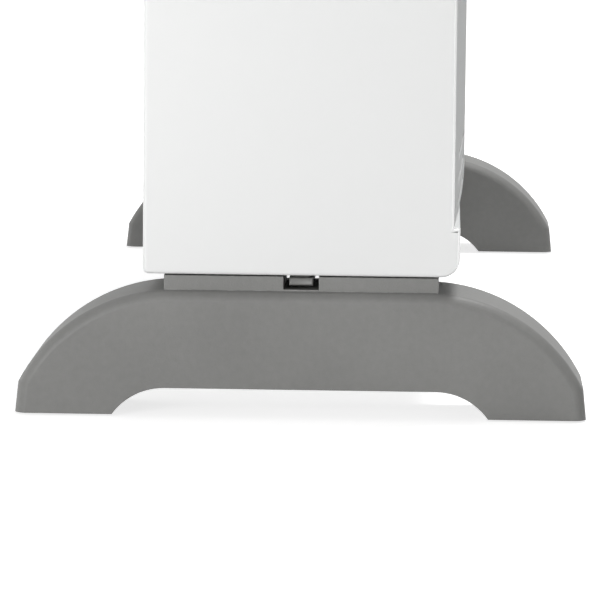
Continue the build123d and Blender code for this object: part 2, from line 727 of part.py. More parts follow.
def control_panel():
    """Moulded control panel with dish, switch cut-outs and lens hole."""
    x0 = GRILLE_SPLIT_X + SEAM
    x1 = SHEET_END
    panel = top_frame(x0, x1)
    panel = chamfer(panel.faces().sort_by(Axis.Z)[-1].edges(), FRAME_CHAMFER)
    y0 = OPENING_FRONT_Y + SEAM + FRAME_WALL
    y1 = OPENING_REAR_Y - SEAM - FRAME_WALL
    panel -= span_box(x0 + FRAME_WALL, x1 - FRAME_WALL, y0, y1, 0, TOP_Z - PLATE)
    panel -= rod_z(DISH_R, TOP_Z - DISH_DEPTH, TOP_Z + 1, KNOB_X, OPENING_MID_Y)
    panel -= rod_z(BUSH_R + SCREW_GAP, 0, TOP_Z, KNOB_X, OPENING_MID_Y)
    panel -= rod_z(LENS_R + SCREW_GAP, 0, LENGTH, SWITCH_X, LENS_Y)
    for y in switch_ys():
        half_x = SWITCH_BODY_WIDTH / 2 + SCREW_GAP
        half_y = SWITCH_BODY_LENGTH / 2 + SCREW_GAP
        panel -= span_box(SWITCH_X - half_x, SWITCH_X + half_x, y - half_y, y + half_y, 0, LENGTH)
    return panel


def knob():
    """Fluted thermostat knob, hollow below, on its D-shaped socket."""
    z0 = TOP_Z + KNOB_GAP
    grip_z = z0 + KNOB_SKIRT
    points = []
    for index in range(2 * KNOB_FLUTES):
        angle = math.pi * index / KNOB_FLUTES
        reach = KNOB_R - FLUTE_DEPTH * (index % 2)
        points.append((reach * math.cos(angle), reach * math.sin(angle)))
    star = make_face(Polyline(*points, close=True))
    body = Pos(KNOB_X, OPENING_MID_Y, grip_z) * extrude(star, amount=KNOB_TOP_Z - grip_z)
    body = chamfer(body.faces().sort_by(Axis.Z)[-1].edges(), KNOB_EDGE)
    skirt = RegularPolygon(KNOB_R, 2 * KNOB_FLUTES)
    body += Pos(KNOB_X, OPENING_MID_Y, z0) * extrude(skirt, amount=KNOB_SKIRT)
    hollow = RegularPolygon(KNOB_R - KNOB_WALL, 2 * KNOB_FLUTES)
    body -= Pos(KNOB_X, OPENING_MID_Y) * extrude(hollow, amount=KNOB_TOP_Z - KNOB_ROOF)
    body += rod_z(SPINDLE_R + KNOB_WALL, grip_z, KNOB_TOP_Z - KNOB_ROOF / 2, KNOB_X, OPENING_MID_Y)
    return body - spindle_shape(FIT_GAP / 2, KNOB_TOP_Z - KNOB_ROOF + FIT_GAP)


def spindle_shape(grow, top_z):
    """D-section spindle, grown for the knob's bore."""
    low = TOP_Z - THERMOSTAT_DROP - THERMOSTAT_HEIGHT / 2
    shaft = rod_z(SPINDLE_R + grow, low, top_z, KNOB_X, OPENING_MID_Y)
    flat_x = KNOB_X + SPINDLE_R - SPINDLE_FLAT + grow
    return shaft - span_box(flat_x, flat_x + SPINDLE_R, -LENGTH, LENGTH, TOP_Z + NUT_HEIGHT, LENGTH)


def spade_tab(x, y, z0, z1):
    """Spade tab below a switch or the thermostat."""
    half = TAB_WIDTH / 2
    return span_box(x - half, x + half, y - TAB_THICKNESS / 2, y + TAB_THICKNESS / 2, z0, z1)


def thermostat_body():
    """Rotary thermostat with its bush and two tabs."""
    top = TOP_Z - THERMOSTAT_DROP
    bottom = top - THERMOSTAT_HEIGHT
    half = THERMOSTAT_SIZE / 2
    body = span_box(KNOB_X - half, KNOB_X + half, OPENING_MID_Y - half, OPENING_MID_Y + half, bottom, top)
    body = chamfer(body.edges().filter_by(Axis.Z), THERMOSTAT_CORNER)
    body += rod_z(BUSH_R, top - 1, TOP_Z - DISH_DEPTH + NUT_HEIGHT - SEAM, KNOB_X, OPENING_MID_Y)
    for side in (-1, 1):
        body += spade_tab(KNOB_X, OPENING_MID_Y + side * half / 2, bottom - TAB_LENGTH, bottom + 1)
    low = top - THERMOSTAT_HEIGHT / 2 - FIT_GAP
    return body - rod_z(SPINDLE_R + RUNNING_GAP, low, LENGTH, KNOB_X, OPENING_MID_Y)


def thermostat_nut():
    """Hexagon nut that holds the thermostat in the dish."""
    z0 = TOP_Z - DISH_DEPTH
    face = RegularPolygon(NUT_R, 6) - Circle(BUSH_R + FIT_GAP / 2)
    return Pos(KNOB_X, OPENING_MID_Y, z0 + FIT_GAP / 2) * extrude(face, amount=NUT_HEIGHT - FIT_GAP)


def rocker(y):
    """Rocker drawn in its off position, round below its pivot."""
    pivot_z = TOP_Z + BEZEL_PROUD - ROCKER_PEAK
    rim = Circle(ROCKER_R) & (Pos(0, ROCKER_PEAK - ROCKER_R) * Rectangle(4 * ROCKER_R, 2 * ROCKER_R))
    for side in (-1, 1):
        cut = Pos(side * ROCKER_R * 1.5, ROCKER_PEAK + ROCKER_R) * Rectangle(3 * ROCKER_R, 2 * ROCKER_R)
        rim -= Rot(0, 0, -side * ROCKER_FACE_TILT) * cut
    rim = Rot(0, 0, ROCKER_TILT) * rim
    rim -= Pos(0, -ROCKER_R - ROCKER_DEPTH) * Rectangle(4 * ROCKER_R, 2 * ROCKER_R)
    half = ROCKER_WIDTH / 2
    body = prism_x(Pos(y, pivot_z) * rim, SWITCH_X - half, SWITCH_X + half)
    reach = half + ROCKER_PIN
    return body + rod_x(ROCKER_PIN_R, SWITCH_X - reach, SWITCH_X + reach, y, pivot_z)


def switch_housing(y):
    """Snap-in switch body with bezel, well and three tabs."""
    bezel_half = BEZEL_LENGTH / 2
    bezel_width = BEZEL_WIDTH / 2
    top = TOP_Z + BEZEL_PROUD
    body = span_box(SWITCH_X - bezel_width, SWITCH_X + bezel_width, y - bezel_half, y + bezel_half,
                    TOP_Z + FIT_GAP / 2, top)
    body = chamfer(body.edges().filter_by(Axis.Z), BEZEL_CORNER)
    half_x = SWITCH_BODY_WIDTH / 2
    half_y = SWITCH_BODY_LENGTH / 2
    bottom = TOP_Z - SWITCH_DEPTH
    body += span_box(SWITCH_X - half_x, SWITCH_X + half_x, y - half_y, y + half_y, bottom, TOP_Z + FIT_GAP)
    well_x = ROCKER_WIDTH / 2 + ROCKER_GAP
    well_y = ROCKER_R + ROCKER_GAP
    pivot_z = top - ROCKER_PEAK
    body -= span_box(SWITCH_X - well_x, SWITCH_X + well_x, y - well_y, y + well_y,
                     pivot_z - 2 * ROCKER_PEAK, LENGTH)
    reach = ROCKER_WIDTH / 2 + ROCKER_PIN + RUNNING_GAP
    body -= rod_x(ROCKER_PIN_R + RUNNING_GAP, SWITCH_X - reach, SWITCH_X + reach, y, pivot_z)
    for step in (-TAB_PITCH, 0, TAB_PITCH):
        body += spade_tab(SWITCH_X, y + step, bottom - TAB_LENGTH, bottom + 1)
    return body


def indicator_lens():
    """Faceted neon lens with a cap and a barrel below the panel."""
    barrel = extrude(RegularPolygon(LENS_R, LENS_SIDES), amount=LENS_BARREL + FIT_GAP)
    cap = extrude(RegularPolygon(LENS_CAP_R, LENS_SIDES), amount=LENS_CAP - FIT_GAP / 2)
    return Pos(SWITCH_X, LENS_Y, TOP_Z - LENS_BARREL) * barrel + Pos(SWITCH_X, LENS_Y, TOP_Z + FIT_GAP / 2) * cap


def heating_fins():
    """X-section aluminium body with sliced arms."""
    arm = Rectangle(2 * ELEMENT_ARM, ELEMENT_ARM_WALL)
    face = Circle(ELEMENT_CORE_R)
    for turn in (45, 135):
        face += Rot(0, 0, turn) * arm
    face -= Circle(SHEATH_R + SHEATH_GAP)
    body = prism_x(Pos(ELEMENT_Y, ELEMENT_Z) * face, ELEMENT_START_X, ELEMENT_END_X)
    ring = Rectangle(3 * ELEMENT_ARM, 3 * ELEMENT_ARM) - Rectangle(2 * ELEMENT_NOTCH_R, 2 * ELEMENT_NOTCH_R)
    cutters = []
    x = ELEMENT_START_X + ELEMENT_NOTCH_PITCH
    while x < ELEMENT_END_X - ELEMENT_NOTCH_PITCH / 2:
        cutters.append(prism_x(Pos(ELEMENT_Y, ELEMENT_Z) * ring, x, x + ELEMENT_NOTCH))
        x += ELEMENT_NOTCH_PITCH
    return body - cutters


def element_sheath():
    """Steel-sheathed rod with a terminal stud at each end."""
    sheath_reach = (1 - STUD_SHARE) * STUD_REACH
    rod = rod_x(SHEATH_R, BRACKET_X - sheath_reach, PARTITION_X + sheath_reach, ELEMENT_Y, ELEMENT_Z)
    return rod + rod_x(STUD_R, BRACKET_X - STUD_REACH, PARTITION_X + STUD_REACH, ELEMENT_Y, ELEMENT_Z)


def square_bar_x(half, x0, x1):
    """Square bar along the element's axis."""
    return span_box(x0, x1, ELEMENT_Y - half, ELEMENT_Y + half, ELEMENT_Z - half, ELEMENT_Z + half)


def element_insulators():
    """Stepped square ceramic bushes in the bracket and the partition."""
    bushes = []
    for x in (BRACKET_X, PARTITION_X):
        x0 = x - INSULATOR_REACH
        x1 = x + INSULATOR_REACH
        bush = square_bar_x(INSULATOR_HALF, x0, x1)
        bush += square_bar_x(INSULATOR_FLANGE_HALF, x + SHEET / 2 + FIT_GAP, x + INSULATOR_FLANGE_REACH)
        bushes.append(bush - rod_x(SHEATH_R + SHEATH_GAP, x0 - 1, x1 + 1, ELEMENT_Y, ELEMENT_Z))
    return Compound(children=bushes)


def element_bracket():
    """Folded bracket that carries the element's left end."""
    x0 = BRACKET_X - SHEET / 2
    x1 = BRACKET_X + SHEET / 2
    low = FLOOR_Z + FIT_GAP
    y0 = ELEMENT_Y - BRACKET_HALF
    y1 = ELEMENT_Y + BRACKET_HALF
    plate = span_box(x0, x1, y0, y1, low, BRACKET_TOP_Z)
    plate = fillet(plate.edges().filter_by(Axis.X).sort_by(Axis.Z)[-2:], BRACKET_CORNER_R)
    plate += span_box(x0, x1 + PARTITION_FLANGE, y0, y1, low, low + SHEET)
    plate -= span_box(x0 - 1, x1 + 1, y0 + BRACKET_EDGE, y1 - BRACKET_EDGE, low + BRACKET_EDGE,
                      ELEMENT_Z - BRACKET_HALF)
    return plate - square_bar_x(INSULATOR_HALF + SHEATH_GAP, x0 - 1, x1 + 1)


def control_partition():
    """Sheet wall between the heating chamber and the controls."""
    x0 = PARTITION_X - SHEET / 2
    x1 = PARTITION_X + SHEET / 2
    low = FLOOR_Z + FIT_GAP
    y0, y1 = PARTITION_FRONT_Y, PARTITION_REAR_Y
    wall = span_box(x0, x1, y0, y1, low, PARTITION_TOP_Z)
    wall += span_box(x0, x1 + PARTITION_FLANGE, y0, y1, low, low + SHEET)
    wall += span_box(x0, x1 + PARTITION_FLANGE, y1 - SHEET, y1, low + PARTITION_FLANGE,
                     PARTITION_TOP_Z - PARTITION_FLANGE)
    wall -= square_bar_x(INSULATOR_HALF + SHEATH_GAP, x0 - 1, x1 + 1)
    wall -= rod_x(WIRE_HOLE_R, x0 - 1, x1 + 1, WIRE_HOLE_Y, WIRE_HOLE_Z)
    for row in range(3):
        z = VENT_TOP_Z - row * VENT_PITCH
        wall -= span_box(x0 - 1, x1 + 1, VENT_FRONT_Y, VENT_REAR_Y, z, z + VENT_HEIGHT)
    return wall


def heat_deflector():
    """Folded shield between the element and the rear panel."""
    back = REAR_Y - SHEET - FIT_GAP
    points = [
        (back, DEFLECTOR_BOTTOM_Z - DEFLECTOR_FLANGE),
        (back, DEFLECTOR_BOTTOM_Z),
        (DEFLECTOR_Y, DEFLECTOR_BOTTOM_Z + DEFLECTOR_FLANGE),
        (DEFLECTOR_Y, DEFLECTOR_TOP_Z - DEFLECTOR_FLANGE),
        (back, DEFLECTOR_TOP_Z),
        (back, DEFLECTOR_TOP_Z + DEFLECTOR_FLANGE),
    ]
    turn = SHEET * math.tan(math.atan2(DEFLECTOR_FLANGE, back - DEFLECTOR_Y) / 2)
    shifts = (0, -turn, -turn, turn, turn, 0)
    inner = [(y - SHEET, z + shift) for (y, z), shift in zip(points, shifts)]
    face = make_face(Polyline(points + inner[::-1], close=True))
    shield = prism_x(face, DEFLECTOR_START_X, DEFLECTOR_END_X)
    for x in (-KEYHOLE_SPACING / 2, KEYHOLE_SPACING / 2):
        shield -= rod_y(DEFLECTOR_HOLE_R, DEFLECTOR_Y + SHEET, REAR_Y, x, KEYHOLE_Z)
    return shield


def thermal_cutout():
    """Disc cut-out on the shield, with its strap and two tabs."""
    face_y = DEFLECTOR_Y - SHEET - FIT_GAP
    tab_y = face_y - CUTOUT_DEPTH
    body = rod_y(CUTOUT_R, tab_y, face_y, CUTOUT_X, CUTOUT_Z)
    body += span_box(CUTOUT_X - STRAP_HALF, CUTOUT_X + STRAP_HALF, face_y - STRAP, face_y,
                     CUTOUT_Z - STRAP_HALF_HEIGHT, CUTOUT_Z + STRAP_HALF_HEIGHT)
    half = TAB_THICKNESS / 2
    for x in (CUTOUT_X - CUTOUT_TAB_SHIFT, CUTOUT_X + CUTOUT_TAB_SHIFT):
        body += span_box(x - half, x + half, tab_y - TAB_LENGTH, tab_y + 1, CUTOUT_Z - TAB_WIDTH / 2,
                         CUTOUT_Z + TAB_WIDTH / 2)
    return body


def terminal_block():
    """Three-way terminal block on the tray floor."""
    low = FLOOR_Z + FIT_GAP
    body = span_box(BLOCK_X - BLOCK_HALF_X, BLOCK_X + BLOCK_HALF_X, BLOCK_FRONT_Y, BLOCK_REAR_Y, low,
                    low + BLOCK_BASE)
    top = low + TERMINAL_HEIGHT
    for step in (-1, 0, 1):
        x = BLOCK_X + step * TERMINAL_STEP
        body += span_box(x - TERMINAL_HALF, x + TERMINAL_HALF, BLOCK_FRONT_Y, BLOCK_REAR_Y, low, top)
        for y, half in ((TERMINAL_ENTRY_Y, WIRE_R + SEAM), (TERMINAL_SCREW_Y, TERMINAL_SCREW_HALF)):
            body -= span_box(x - half, x + half, y - half, y + half, low + TERMINAL_HOLE_Z, top + 1)
    return body


def wire(points):
    """Round wire along straight runs joined by bends."""
    path = FilletPolyline(*points, radius=WIRE_BEND)
    start = Plane(origin=path @ 0, z_dir=path % 0)
    return sweep(start * RegularPolygon(WIRE_R, WIRE_SIDES), path=path)


def terminal_entry(step):
    """Points of a wire that drops into one way of the terminal block."""
    x = BLOCK_X + step * TERMINAL_STEP
    low = FLOOR_Z + FIT_GAP + TERMINAL_HOLE_Z
    return [(x, TERMINAL_ENTRY_Y, low + WIRE_RISE), (x, TERMINAL_ENTRY_Y, low + SEAM)]


def wire_loom():
    """Insulated wires inside the control compartment."""
    low_y, high_y = switch_ys()
    switch_z = TOP_Z - SWITCH_DEPTH - TAB_LENGTH - SEAM
    sensor_z = TOP_Z - THERMOSTAT_DROP - THERMOSTAT_HEIGHT - TAB_LENGTH - SEAM
    tab_y = THERMOSTAT_SIZE / 4
    stud_x = PARTITION_X + STUD_REACH + SEAM
    sensor_front = OPENING_MID_Y - tab_y
    sensor_rear = OPENING_MID_Y + tab_y
    turn_z = TOP_Z - WIRE_DROP
    wires = [
        [(SWITCH_X, low_y, switch_z), (SWITCH_X, low_y, turn_z - WIRE_STEP),
         (stud_x + WIRE_STUB, ELEMENT_Y, ELEMENT_Z), (stud_x, ELEMENT_Y, ELEMENT_Z)],
        [(SWITCH_X, high_y, switch_z), (SWITCH_X, high_y, turn_z)] + terminal_entry(-1),
        [(KNOB_X, sensor_front, sensor_z), (KNOB_X, sensor_front, turn_z + WIRE_STEP)] + terminal_entry(0),
        [(KNOB_X, sensor_rear, sensor_z), (KNOB_X, sensor_rear, turn_z)] + terminal_entry(1),
    ]
    return Compound(children=[wire(points) for points in wires])


def inlet_prism(size, y0, y1):
    """Square bar with cut corners on the cable inlet's axis."""
    face = Pos(INLET_X, INLET_Z) * cut_corner_rect(size, size, INLET_CORNER)
    return extrude(Plane.XZ.offset(-y0) * face, amount=y0 - y1)


def cable_bush():
    """Snap-in rubber bush for the supply cable: flange, neck and clip."""
    body = inlet_prism(INLET_BODY, REAR_Y - INLET_REACH, REAR_Y + 1)
    body += inlet_prism(INLET_FLANGE_SIZE, REAR_Y + FIT_GAP / 2, REAR_Y + INLET_FLANGE)
    lip_y = REAR_Y - SHEET - FIT_GAP / 2
    body += inlet_prism(INLET_LIP_SIZE, lip_y - INLET_LIP, lip_y)
    return body - rod_y(INLET_BORE_R, REAR_Y - INLET_REACH - 1, REAR_Y + 5, INLET_X, INLET_Z)


def screw(x, z):
    """Screw entering the rear panel, with a many-sided head and shank."""
    face = REAR_Y + FIT_GAP / 2
    plane = Plane.XZ.offset(-face)
    head = extrude(plane * Pos(x, z) * RegularPolygon(SCREW_HEAD_R, SCREW_SIDES), amount=-SCREW_HEAD)
    shank = extrude(plane * Pos(x, z) * RegularPolygon(SCREW_R, SCREW_SIDES // 2), amount=SCREW_LENGTH)
    return head + shank


def screw_group(places):
    """Screws of one group, as separate solids."""
    return Compound(children=[screw(x, z) for x, z in places])


def across(shape):
    """The same piece at the other end of the heater."""
    return mirror(shape, about=Plane.YZ)


def write(name, shape):
    """Save one piece."""
    export_step(shape, f"parts/{name}.step")


def main():
    """Build every piece in its place and save it."""
    cap, foot_left, pads, catch = end_cap(), foot(), foot_pads(), foot_catch()
    low_y, high_y = switch_ys()
    left_screws, right_screws, tray_screws = screw_places()
    write("front_panel", front_panel())
    write("rear_panel", rear_panel())
    write("base_tray", base_tray())
    write("end_cap_left", cap)
    write("end_cap_right", across(cap))
    write("foot_left", foot_left)
    write("foot_right", across(foot_left))
    write("foot_pads_left", pads)
    write("foot_pads_right", across(pads))
    write("foot_catch_left", catch)
    write("foot_catch_right", across(catch))
    write("top_grille", top_grille())
    write("control_panel", control_panel())
    write("thermostat_knob", knob())
    write("thermostat_spindle", spindle_shape(0, KNOB_TOP_Z - KNOB_ROOF))
    write("thermostat_body", thermostat_body())
    write("thermostat_nut", thermostat_nut())
    write("rocker_low", rocker(low_y))
    write("rocker_high", rocker(high_y))
    write("switch_housing_low", switch_housing(low_y))
    write("switch_housing_high", switch_housing(high_y))
    write("indicator_lens", indicator_lens())
    write("heating_fins", heating_fins())
    write("element_sheath", element_sheath())
    write("element_insulators", element_insulators())
    write("element_bracket", element_bracket())
    write("control_partition", control_partition())
    write("heat_deflector", heat_deflector())
    write("thermal_cutout", thermal_cutout())
    write("terminal_block", terminal_block())
    write("wire_loom", wire_loom())
    write("cable_bush", cable_bush())
    write("screws_cap_left", screw_group(left_screws))
    write("screws_cap_right", screw_group(right_screws))
    write("screws_tray", screw_group(tray_screws))


main()
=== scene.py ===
import json
import math

import bmesh
import bpy
from bpy.props import FloatProperty, FloatVectorProperty, IntProperty, PointerProperty
from mathutils import Matrix, Vector


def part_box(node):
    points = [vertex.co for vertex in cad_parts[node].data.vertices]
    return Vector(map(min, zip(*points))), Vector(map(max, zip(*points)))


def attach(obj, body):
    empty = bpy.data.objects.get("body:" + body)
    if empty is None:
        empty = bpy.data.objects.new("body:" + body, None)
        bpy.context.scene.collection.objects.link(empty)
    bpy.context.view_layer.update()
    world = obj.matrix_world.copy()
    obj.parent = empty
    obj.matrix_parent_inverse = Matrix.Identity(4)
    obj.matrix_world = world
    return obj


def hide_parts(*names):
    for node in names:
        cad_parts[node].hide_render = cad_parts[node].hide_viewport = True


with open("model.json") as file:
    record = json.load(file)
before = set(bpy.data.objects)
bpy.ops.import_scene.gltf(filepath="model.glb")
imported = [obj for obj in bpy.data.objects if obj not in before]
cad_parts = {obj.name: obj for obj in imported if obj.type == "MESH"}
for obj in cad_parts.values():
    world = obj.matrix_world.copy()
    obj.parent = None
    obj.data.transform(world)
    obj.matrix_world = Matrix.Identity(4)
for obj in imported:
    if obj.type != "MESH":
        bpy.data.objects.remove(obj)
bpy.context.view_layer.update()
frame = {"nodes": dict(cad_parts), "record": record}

bl_info = {
    "name": "Panel heater dressing",
    "version": (1, 0, 0),
    "blender": (4, 5, 0),
    "location": "3D View > Sidebar > Heater",
    "description": "Finishes, small fittings and studio stage for a panel convector heater",
    "category": "Object",
}

MM = 0.001

# Places read from the frame
KNOB_LOW, KNOB_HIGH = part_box("thermostat_knob")
KNOB_MIDDLE = (KNOB_LOW + KNOB_HIGH) / 2
CASING_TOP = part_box("control_panel")[1].z

# Rockers, as the solids have them
PIVOT_DROP = 1.2 * MM
ROCKER_REST_TILT = math.radians(7)
ROCKER_FACE_TILT = math.radians(9)
ROCKER_FACE_HEIGHT = 2.6 * MM

# Copies of the solids' meshes
SIDES = ("left", "right")
MERGE_DISTANCE = 0.001 * MM
WELD_DISTANCE = 0.0001 * MM
FLAT_ANGLE = math.radians(0.5)
CHAMFER_TURN = (30, 60)
CHAMFER_SLOPE = (0.6, 0.8)
ROUNDING_SEGMENTS = 3
LARGE_FACE_WEIGHT = 90
FACES_STRAIGHT_OUT = 0.98
CATCH_RECESS = 0.3 * MM

# Edges that turn by more degrees than this stay sharp
SMOOTH_CATCH = 25
SMOOTH_ROUNDING = 32
SMOOTH_FITTING = 35
SMOOTH_TURNED = 40

# Dial: start and sweep in degrees
DIAL_START = 225
DIAL_SWEEP = 270
DIAL_TICKS = 24
TICKS_TO_A_NUMBER = 4
DIAL_NUMBERS = ("*", "1", "2", "3", "4", "5", "6")

# Screw heads
SCREW_RADIUS = 3.2 * MM
SCREW_HEIGHT = 1.7 * MM

# How wear, painted edge highlights, painted shade in corners and dust change a surface
NEAR_SURFACE_SAMPLES = 6
RUB_AND_HIGHLIGHT_SHARE = 0.6
RUBBED_POLISH = -0.08
PAINTED_SHADE_FACTOR = 0.45
DUST_COLOUR = (0.42, 0.41, 0.39)
DUST_MATTNESS = 0.4

# Stage: each lamp's name, place, target, size and the setting that holds its power
LAMPS = (
    ("key_lamp", (-2.7, -0.3, 0.8), (0, 0, 0.15), (1.6, 1.0), "key_power"),
    ("near_lamp", (-0.89, 0.38, 0.15), (-0.265, 0, 0.08), (0.34, 0.29), "near_power"),
    ("edge_lamp", (-1.1, -0.9, 0.35), (-0.265, 0, 0.12), (0.08, 0.7), "edge_power"),
    ("top_lamp", (0.45, -0.38, 2.2), (-0.1, -0.1, 0.1), (0.7, 0.5), "top_power"),
    ("rear_lamp", (0.9, 2.4, 0.45), (0.1, 0, 0.25), (1.2, 0.6), "rear_power"),
)
FLOOR_TONE = (0.62, 0.62, 0.62)
FLOOR_NEAR = 0.3
FLOOR_FAR = 0.85


# ---- settings


class FinishColours(bpy.types.PropertyGroup):
    """Base colours of the finishes, in linear light."""

    white_paint: FloatVectorProperty(
        name="White paint", description="Powder coat of the sheet metal", subtype="COLOR",
        size=3, min=0, max=1, default=(0.8, 0.81, 0.806))
    white_moulding: FloatVectorProperty(
        name="White moulding", description="Glossy end caps", subtype="COLOR",
        size=3, min=0, max=1, default=(0.84, 0.845, 0.84))
    foot_grey: FloatVectorProperty(
        name="Foot grey", description="Fine-textured moulding of the feet", subtype="COLOR",
        size=3, min=0, max=1, default=(0.22, 0.22, 0.213))
    catch_grey: FloatVectorProperty(
        name="Catch grey", description="Catch levers in the feet", subtype="COLOR",
        size=3, min=0, max=1, default=(0.19, 0.19, 0.184))
    grille_grey: FloatVectorProperty(
        name="Grille grey", description="Top grille and control panel", subtype="COLOR",
        size=3, min=0, max=1, default=(0.215, 0.215, 0.207))
    knob_grey: FloatVectorProperty(
        name="Knob grey", description="Thermostat knob", subtype="COLOR",
        size=3, min=0, max=1, default=(0.11, 0.11, 0.108))
    print_white: FloatVectorProperty(
        name="Print white", description="Dial and switch marks", subtype="COLOR",
        size=3, min=0, max=1, default=(0.8, 0.8, 0.79))


class FittingSizes(bpy.types.PropertyGroup):
    """Sizes of the small fittings made here."""

    dial_radius: FloatProperty(
        name="Dial radius", description="Inner end of the dial's ticks", subtype="DISTANCE",
        unit="LENGTH", default=21.6 * MM)
    tick_length: FloatProperty(
        name="Tick length", description="Length of a numbered tick", subtype="DISTANCE",
        unit="LENGTH", default=1.2 * MM)
    digit_height: FloatProperty(
        name="Digit height", description="Height of the dial's numbers", subtype="DISTANCE",
        unit="LENGTH", default=3.2 * MM)
    print_thickness: FloatProperty(
        name="Print thickness", description="Thickness of printed marks", subtype="DISTANCE",
        unit="LENGTH", default=0.06 * MM)
    knob_flutes: IntProperty(
        name="Knob flutes", description="Grip flutes round the knob", default=36, min=12)
    pad_ribs: IntProperty(
        name="Pad ribs", description="Tread ribs under each rubber pad", default=7, min=3)
    catch_frame: FloatProperty(
        name="Catch frame", description="Width of the frame round a catch's finger face",
        subtype="DISTANCE", unit="LENGTH", default=0.5 * MM)
    foot_rounding: FloatProperty(
        name="Foot rounding", subtype="DISTANCE", unit="LENGTH", default=1.3 * MM,
        description="How far the feet's rounding reaches from each chamfer's edge")
    cap_rounding: FloatProperty(
        name="Cap rounding", subtype="DISTANCE", unit="LENGTH", default=0.42 * MM,
        description="How far the caps' rounding reaches from each chamfer's edge")


class StageSettings(bpy.types.PropertyGroup):
    """Camera, lamps and floor."""

    camera_place: FloatVectorProperty(
        name="Camera place", description="Where the camera stands", subtype="TRANSLATION",
        unit="LENGTH", size=3, default=(-1.6492, -0.0495, 0.2269))
    camera_pitch: FloatProperty(
        name="Camera pitch", description="Downward tilt", subtype="ANGLE", unit="ROTATION",
        default=math.radians(7.603))
    camera_yaw: FloatProperty(
        name="Camera yaw", description="Turn towards the rear panel", subtype="ANGLE",
        unit="ROTATION", default=math.radians(2.056))
    camera_roll: FloatProperty(
        name="Camera roll", description="Roll that drops the right side", subtype="ANGLE",
        unit="ROTATION", default=math.radians(0.544))
    lens: FloatProperty(
        name="Lens", description="Focal length on a 36 mm sensor, in millimetres",
        default=241.1)
    key_power: FloatProperty(
        name="Key lamp", description="Power of the lamp that faces the end cap",
        subtype="POWER", unit="POWER", default=9.0)
    near_power: FloatProperty(
        name="Near lamp", subtype="POWER", unit="POWER", default=2.75,
        description="Power of the close lamp that shades the end cap from rear to front")
    edge_power: FloatProperty(
        name="Edge lamp", subtype="POWER", unit="POWER", default=0.4,
        description="Power of the narrow lamp that lines the cap's front edge")
    top_power: FloatProperty(
        name="Top lamp", description="Power of the lamp above the front", subtype="POWER",
        unit="POWER", default=35.0)
    rear_power: FloatProperty(
        name="Rear lamp", description="Power of the lamp that faces the rear panel",
        subtype="POWER", unit="POWER", default=13.0)
    ambient: FloatProperty(
        name="Ambient", description="Light from all round", default=0.22, min=0)
    floor_glow: FloatProperty(
        name="Floor glow", default=0.76, min=0,
        description="Share of white that the camera sees in the floor at the feet")
    floor_half: FloatProperty(
        name="Floor half size", description="Half the floor's width", subtype="DISTANCE",
        unit="LENGTH", default=6.0)


# ---- shader groups


FLOAT, VECTOR, COLOUR = "NodeSocketFloat", "NodeSocketVector", "NodeSocketColor"


def socket(tree, in_out, name, kind, default=None, low=None, high=None):
    """Named input or output of a node group."""
    item = tree.interface.new_socket(name=name, in_out=in_out, socket_type=kind)
    for attribute, value in (("default_value", default), ("min_value", low), ("max_value", high)):
        if value is not None:
            setattr(item, attribute, value)


def plug(tree, value, target):
    """Link a socket to an input, or set a number or a colour on it."""
    if isinstance(value, bpy.types.NodeSocket):
        tree.links.new(value, target)
    elif target.type == "RGBA":
        target.default_value = tuple(value)[:3] + (1.0,)
    else:
        target.default_value = value


def value_node(tree, operation, *values, clamp=False):
    """Math node."""
    node = tree.nodes.new("ShaderNodeMath")
    node.operation = operation
    node.use_clamp = clamp
    for value, target in zip(values, node.inputs):
        plug(tree, value, target)
    return node.outputs[0]


def vector_node(tree, operation, *values):
    """Vector Math node."""
    node = tree.nodes.new("ShaderNodeVectorMath")
    node.operation = operation
    for value, target in zip(values, node.inputs):
        plug(tree, value, target)
    return node


def scaled_mask(tree, first, second, amount):
    """Product of two masks and an amount."""
    return value_node(tree, "MULTIPLY", value_node(tree, "MULTIPLY", first, second), amount)


def mix_colour(tree, factor, a, b):
    """Mix node for colours."""
    node = tree.nodes.new("ShaderNodeMix")
    node.data_type = "RGBA"
    for value, index in ((factor, 0), (a, 6), (b, 7)):
        plug(tree, value, node.inputs[index])
    return node.outputs[2]


def map_range(tree, value, from_low, from_high, to_low=0.0, to_high=1.0, smooth=False):
    """Map Range node."""
    node = tree.nodes.new("ShaderNodeMapRange")
    node.interpolation_type = "SMOOTHSTEP" if smooth else "LINEAR"
    for number, target in zip((value, from_low, from_high, to_low, to_high), node.inputs):
        plug(tree, number, target)
    return node.outputs[0]


def noise(tree, vector, scale, detail=3.0, roughness=0.55):
    """Noise texture value."""
    node = tree.nodes.new("ShaderNodeTexNoise")
    values = {"Vector": vector, "Scale": scale, "Detail": detail, "Roughness": roughness}
    for name, value in values.items():
        plug(tree, value, node.inputs[name])
    return node.outputs[0]


def facing(tree, axis):
    """How far the surface's normal turns to one axis."""
    geometry = tree.nodes.new("ShaderNodeNewGeometry")
    split = tree.nodes.new("ShaderNodeSeparateXYZ")
    tree.links.new(geometry.outputs["Normal"], split.inputs[0])
    return split.outputs[axis]


def seen_directly(tree):
    """One for camera, glossy and transmission rays, zero for the rays that light things."""
    path = tree.nodes.new("ShaderNodeLightPath")
    seen = value_node(tree, "MAXIMUM", path.outputs["Is Camera Ray"], path.outputs["Is Glossy Ray"])
    return value_node(tree, "MAXIMUM", seen, path.outputs["Is Transmission Ray"])


def link_relief(tree, shader, height, distance, normal=None):
    """Bump node from a height to the shader's normal."""
    bump = tree.nodes.new("ShaderNodeBump")
    bump.inputs["Distance"].default_value = distance
    tree.links.new(height, bump.inputs["Height"])
    if normal is not None:
        tree.links.new(normal, bump.inputs["Normal"])
    tree.links.new(bump.outputs[0], shader.inputs["Normal"])


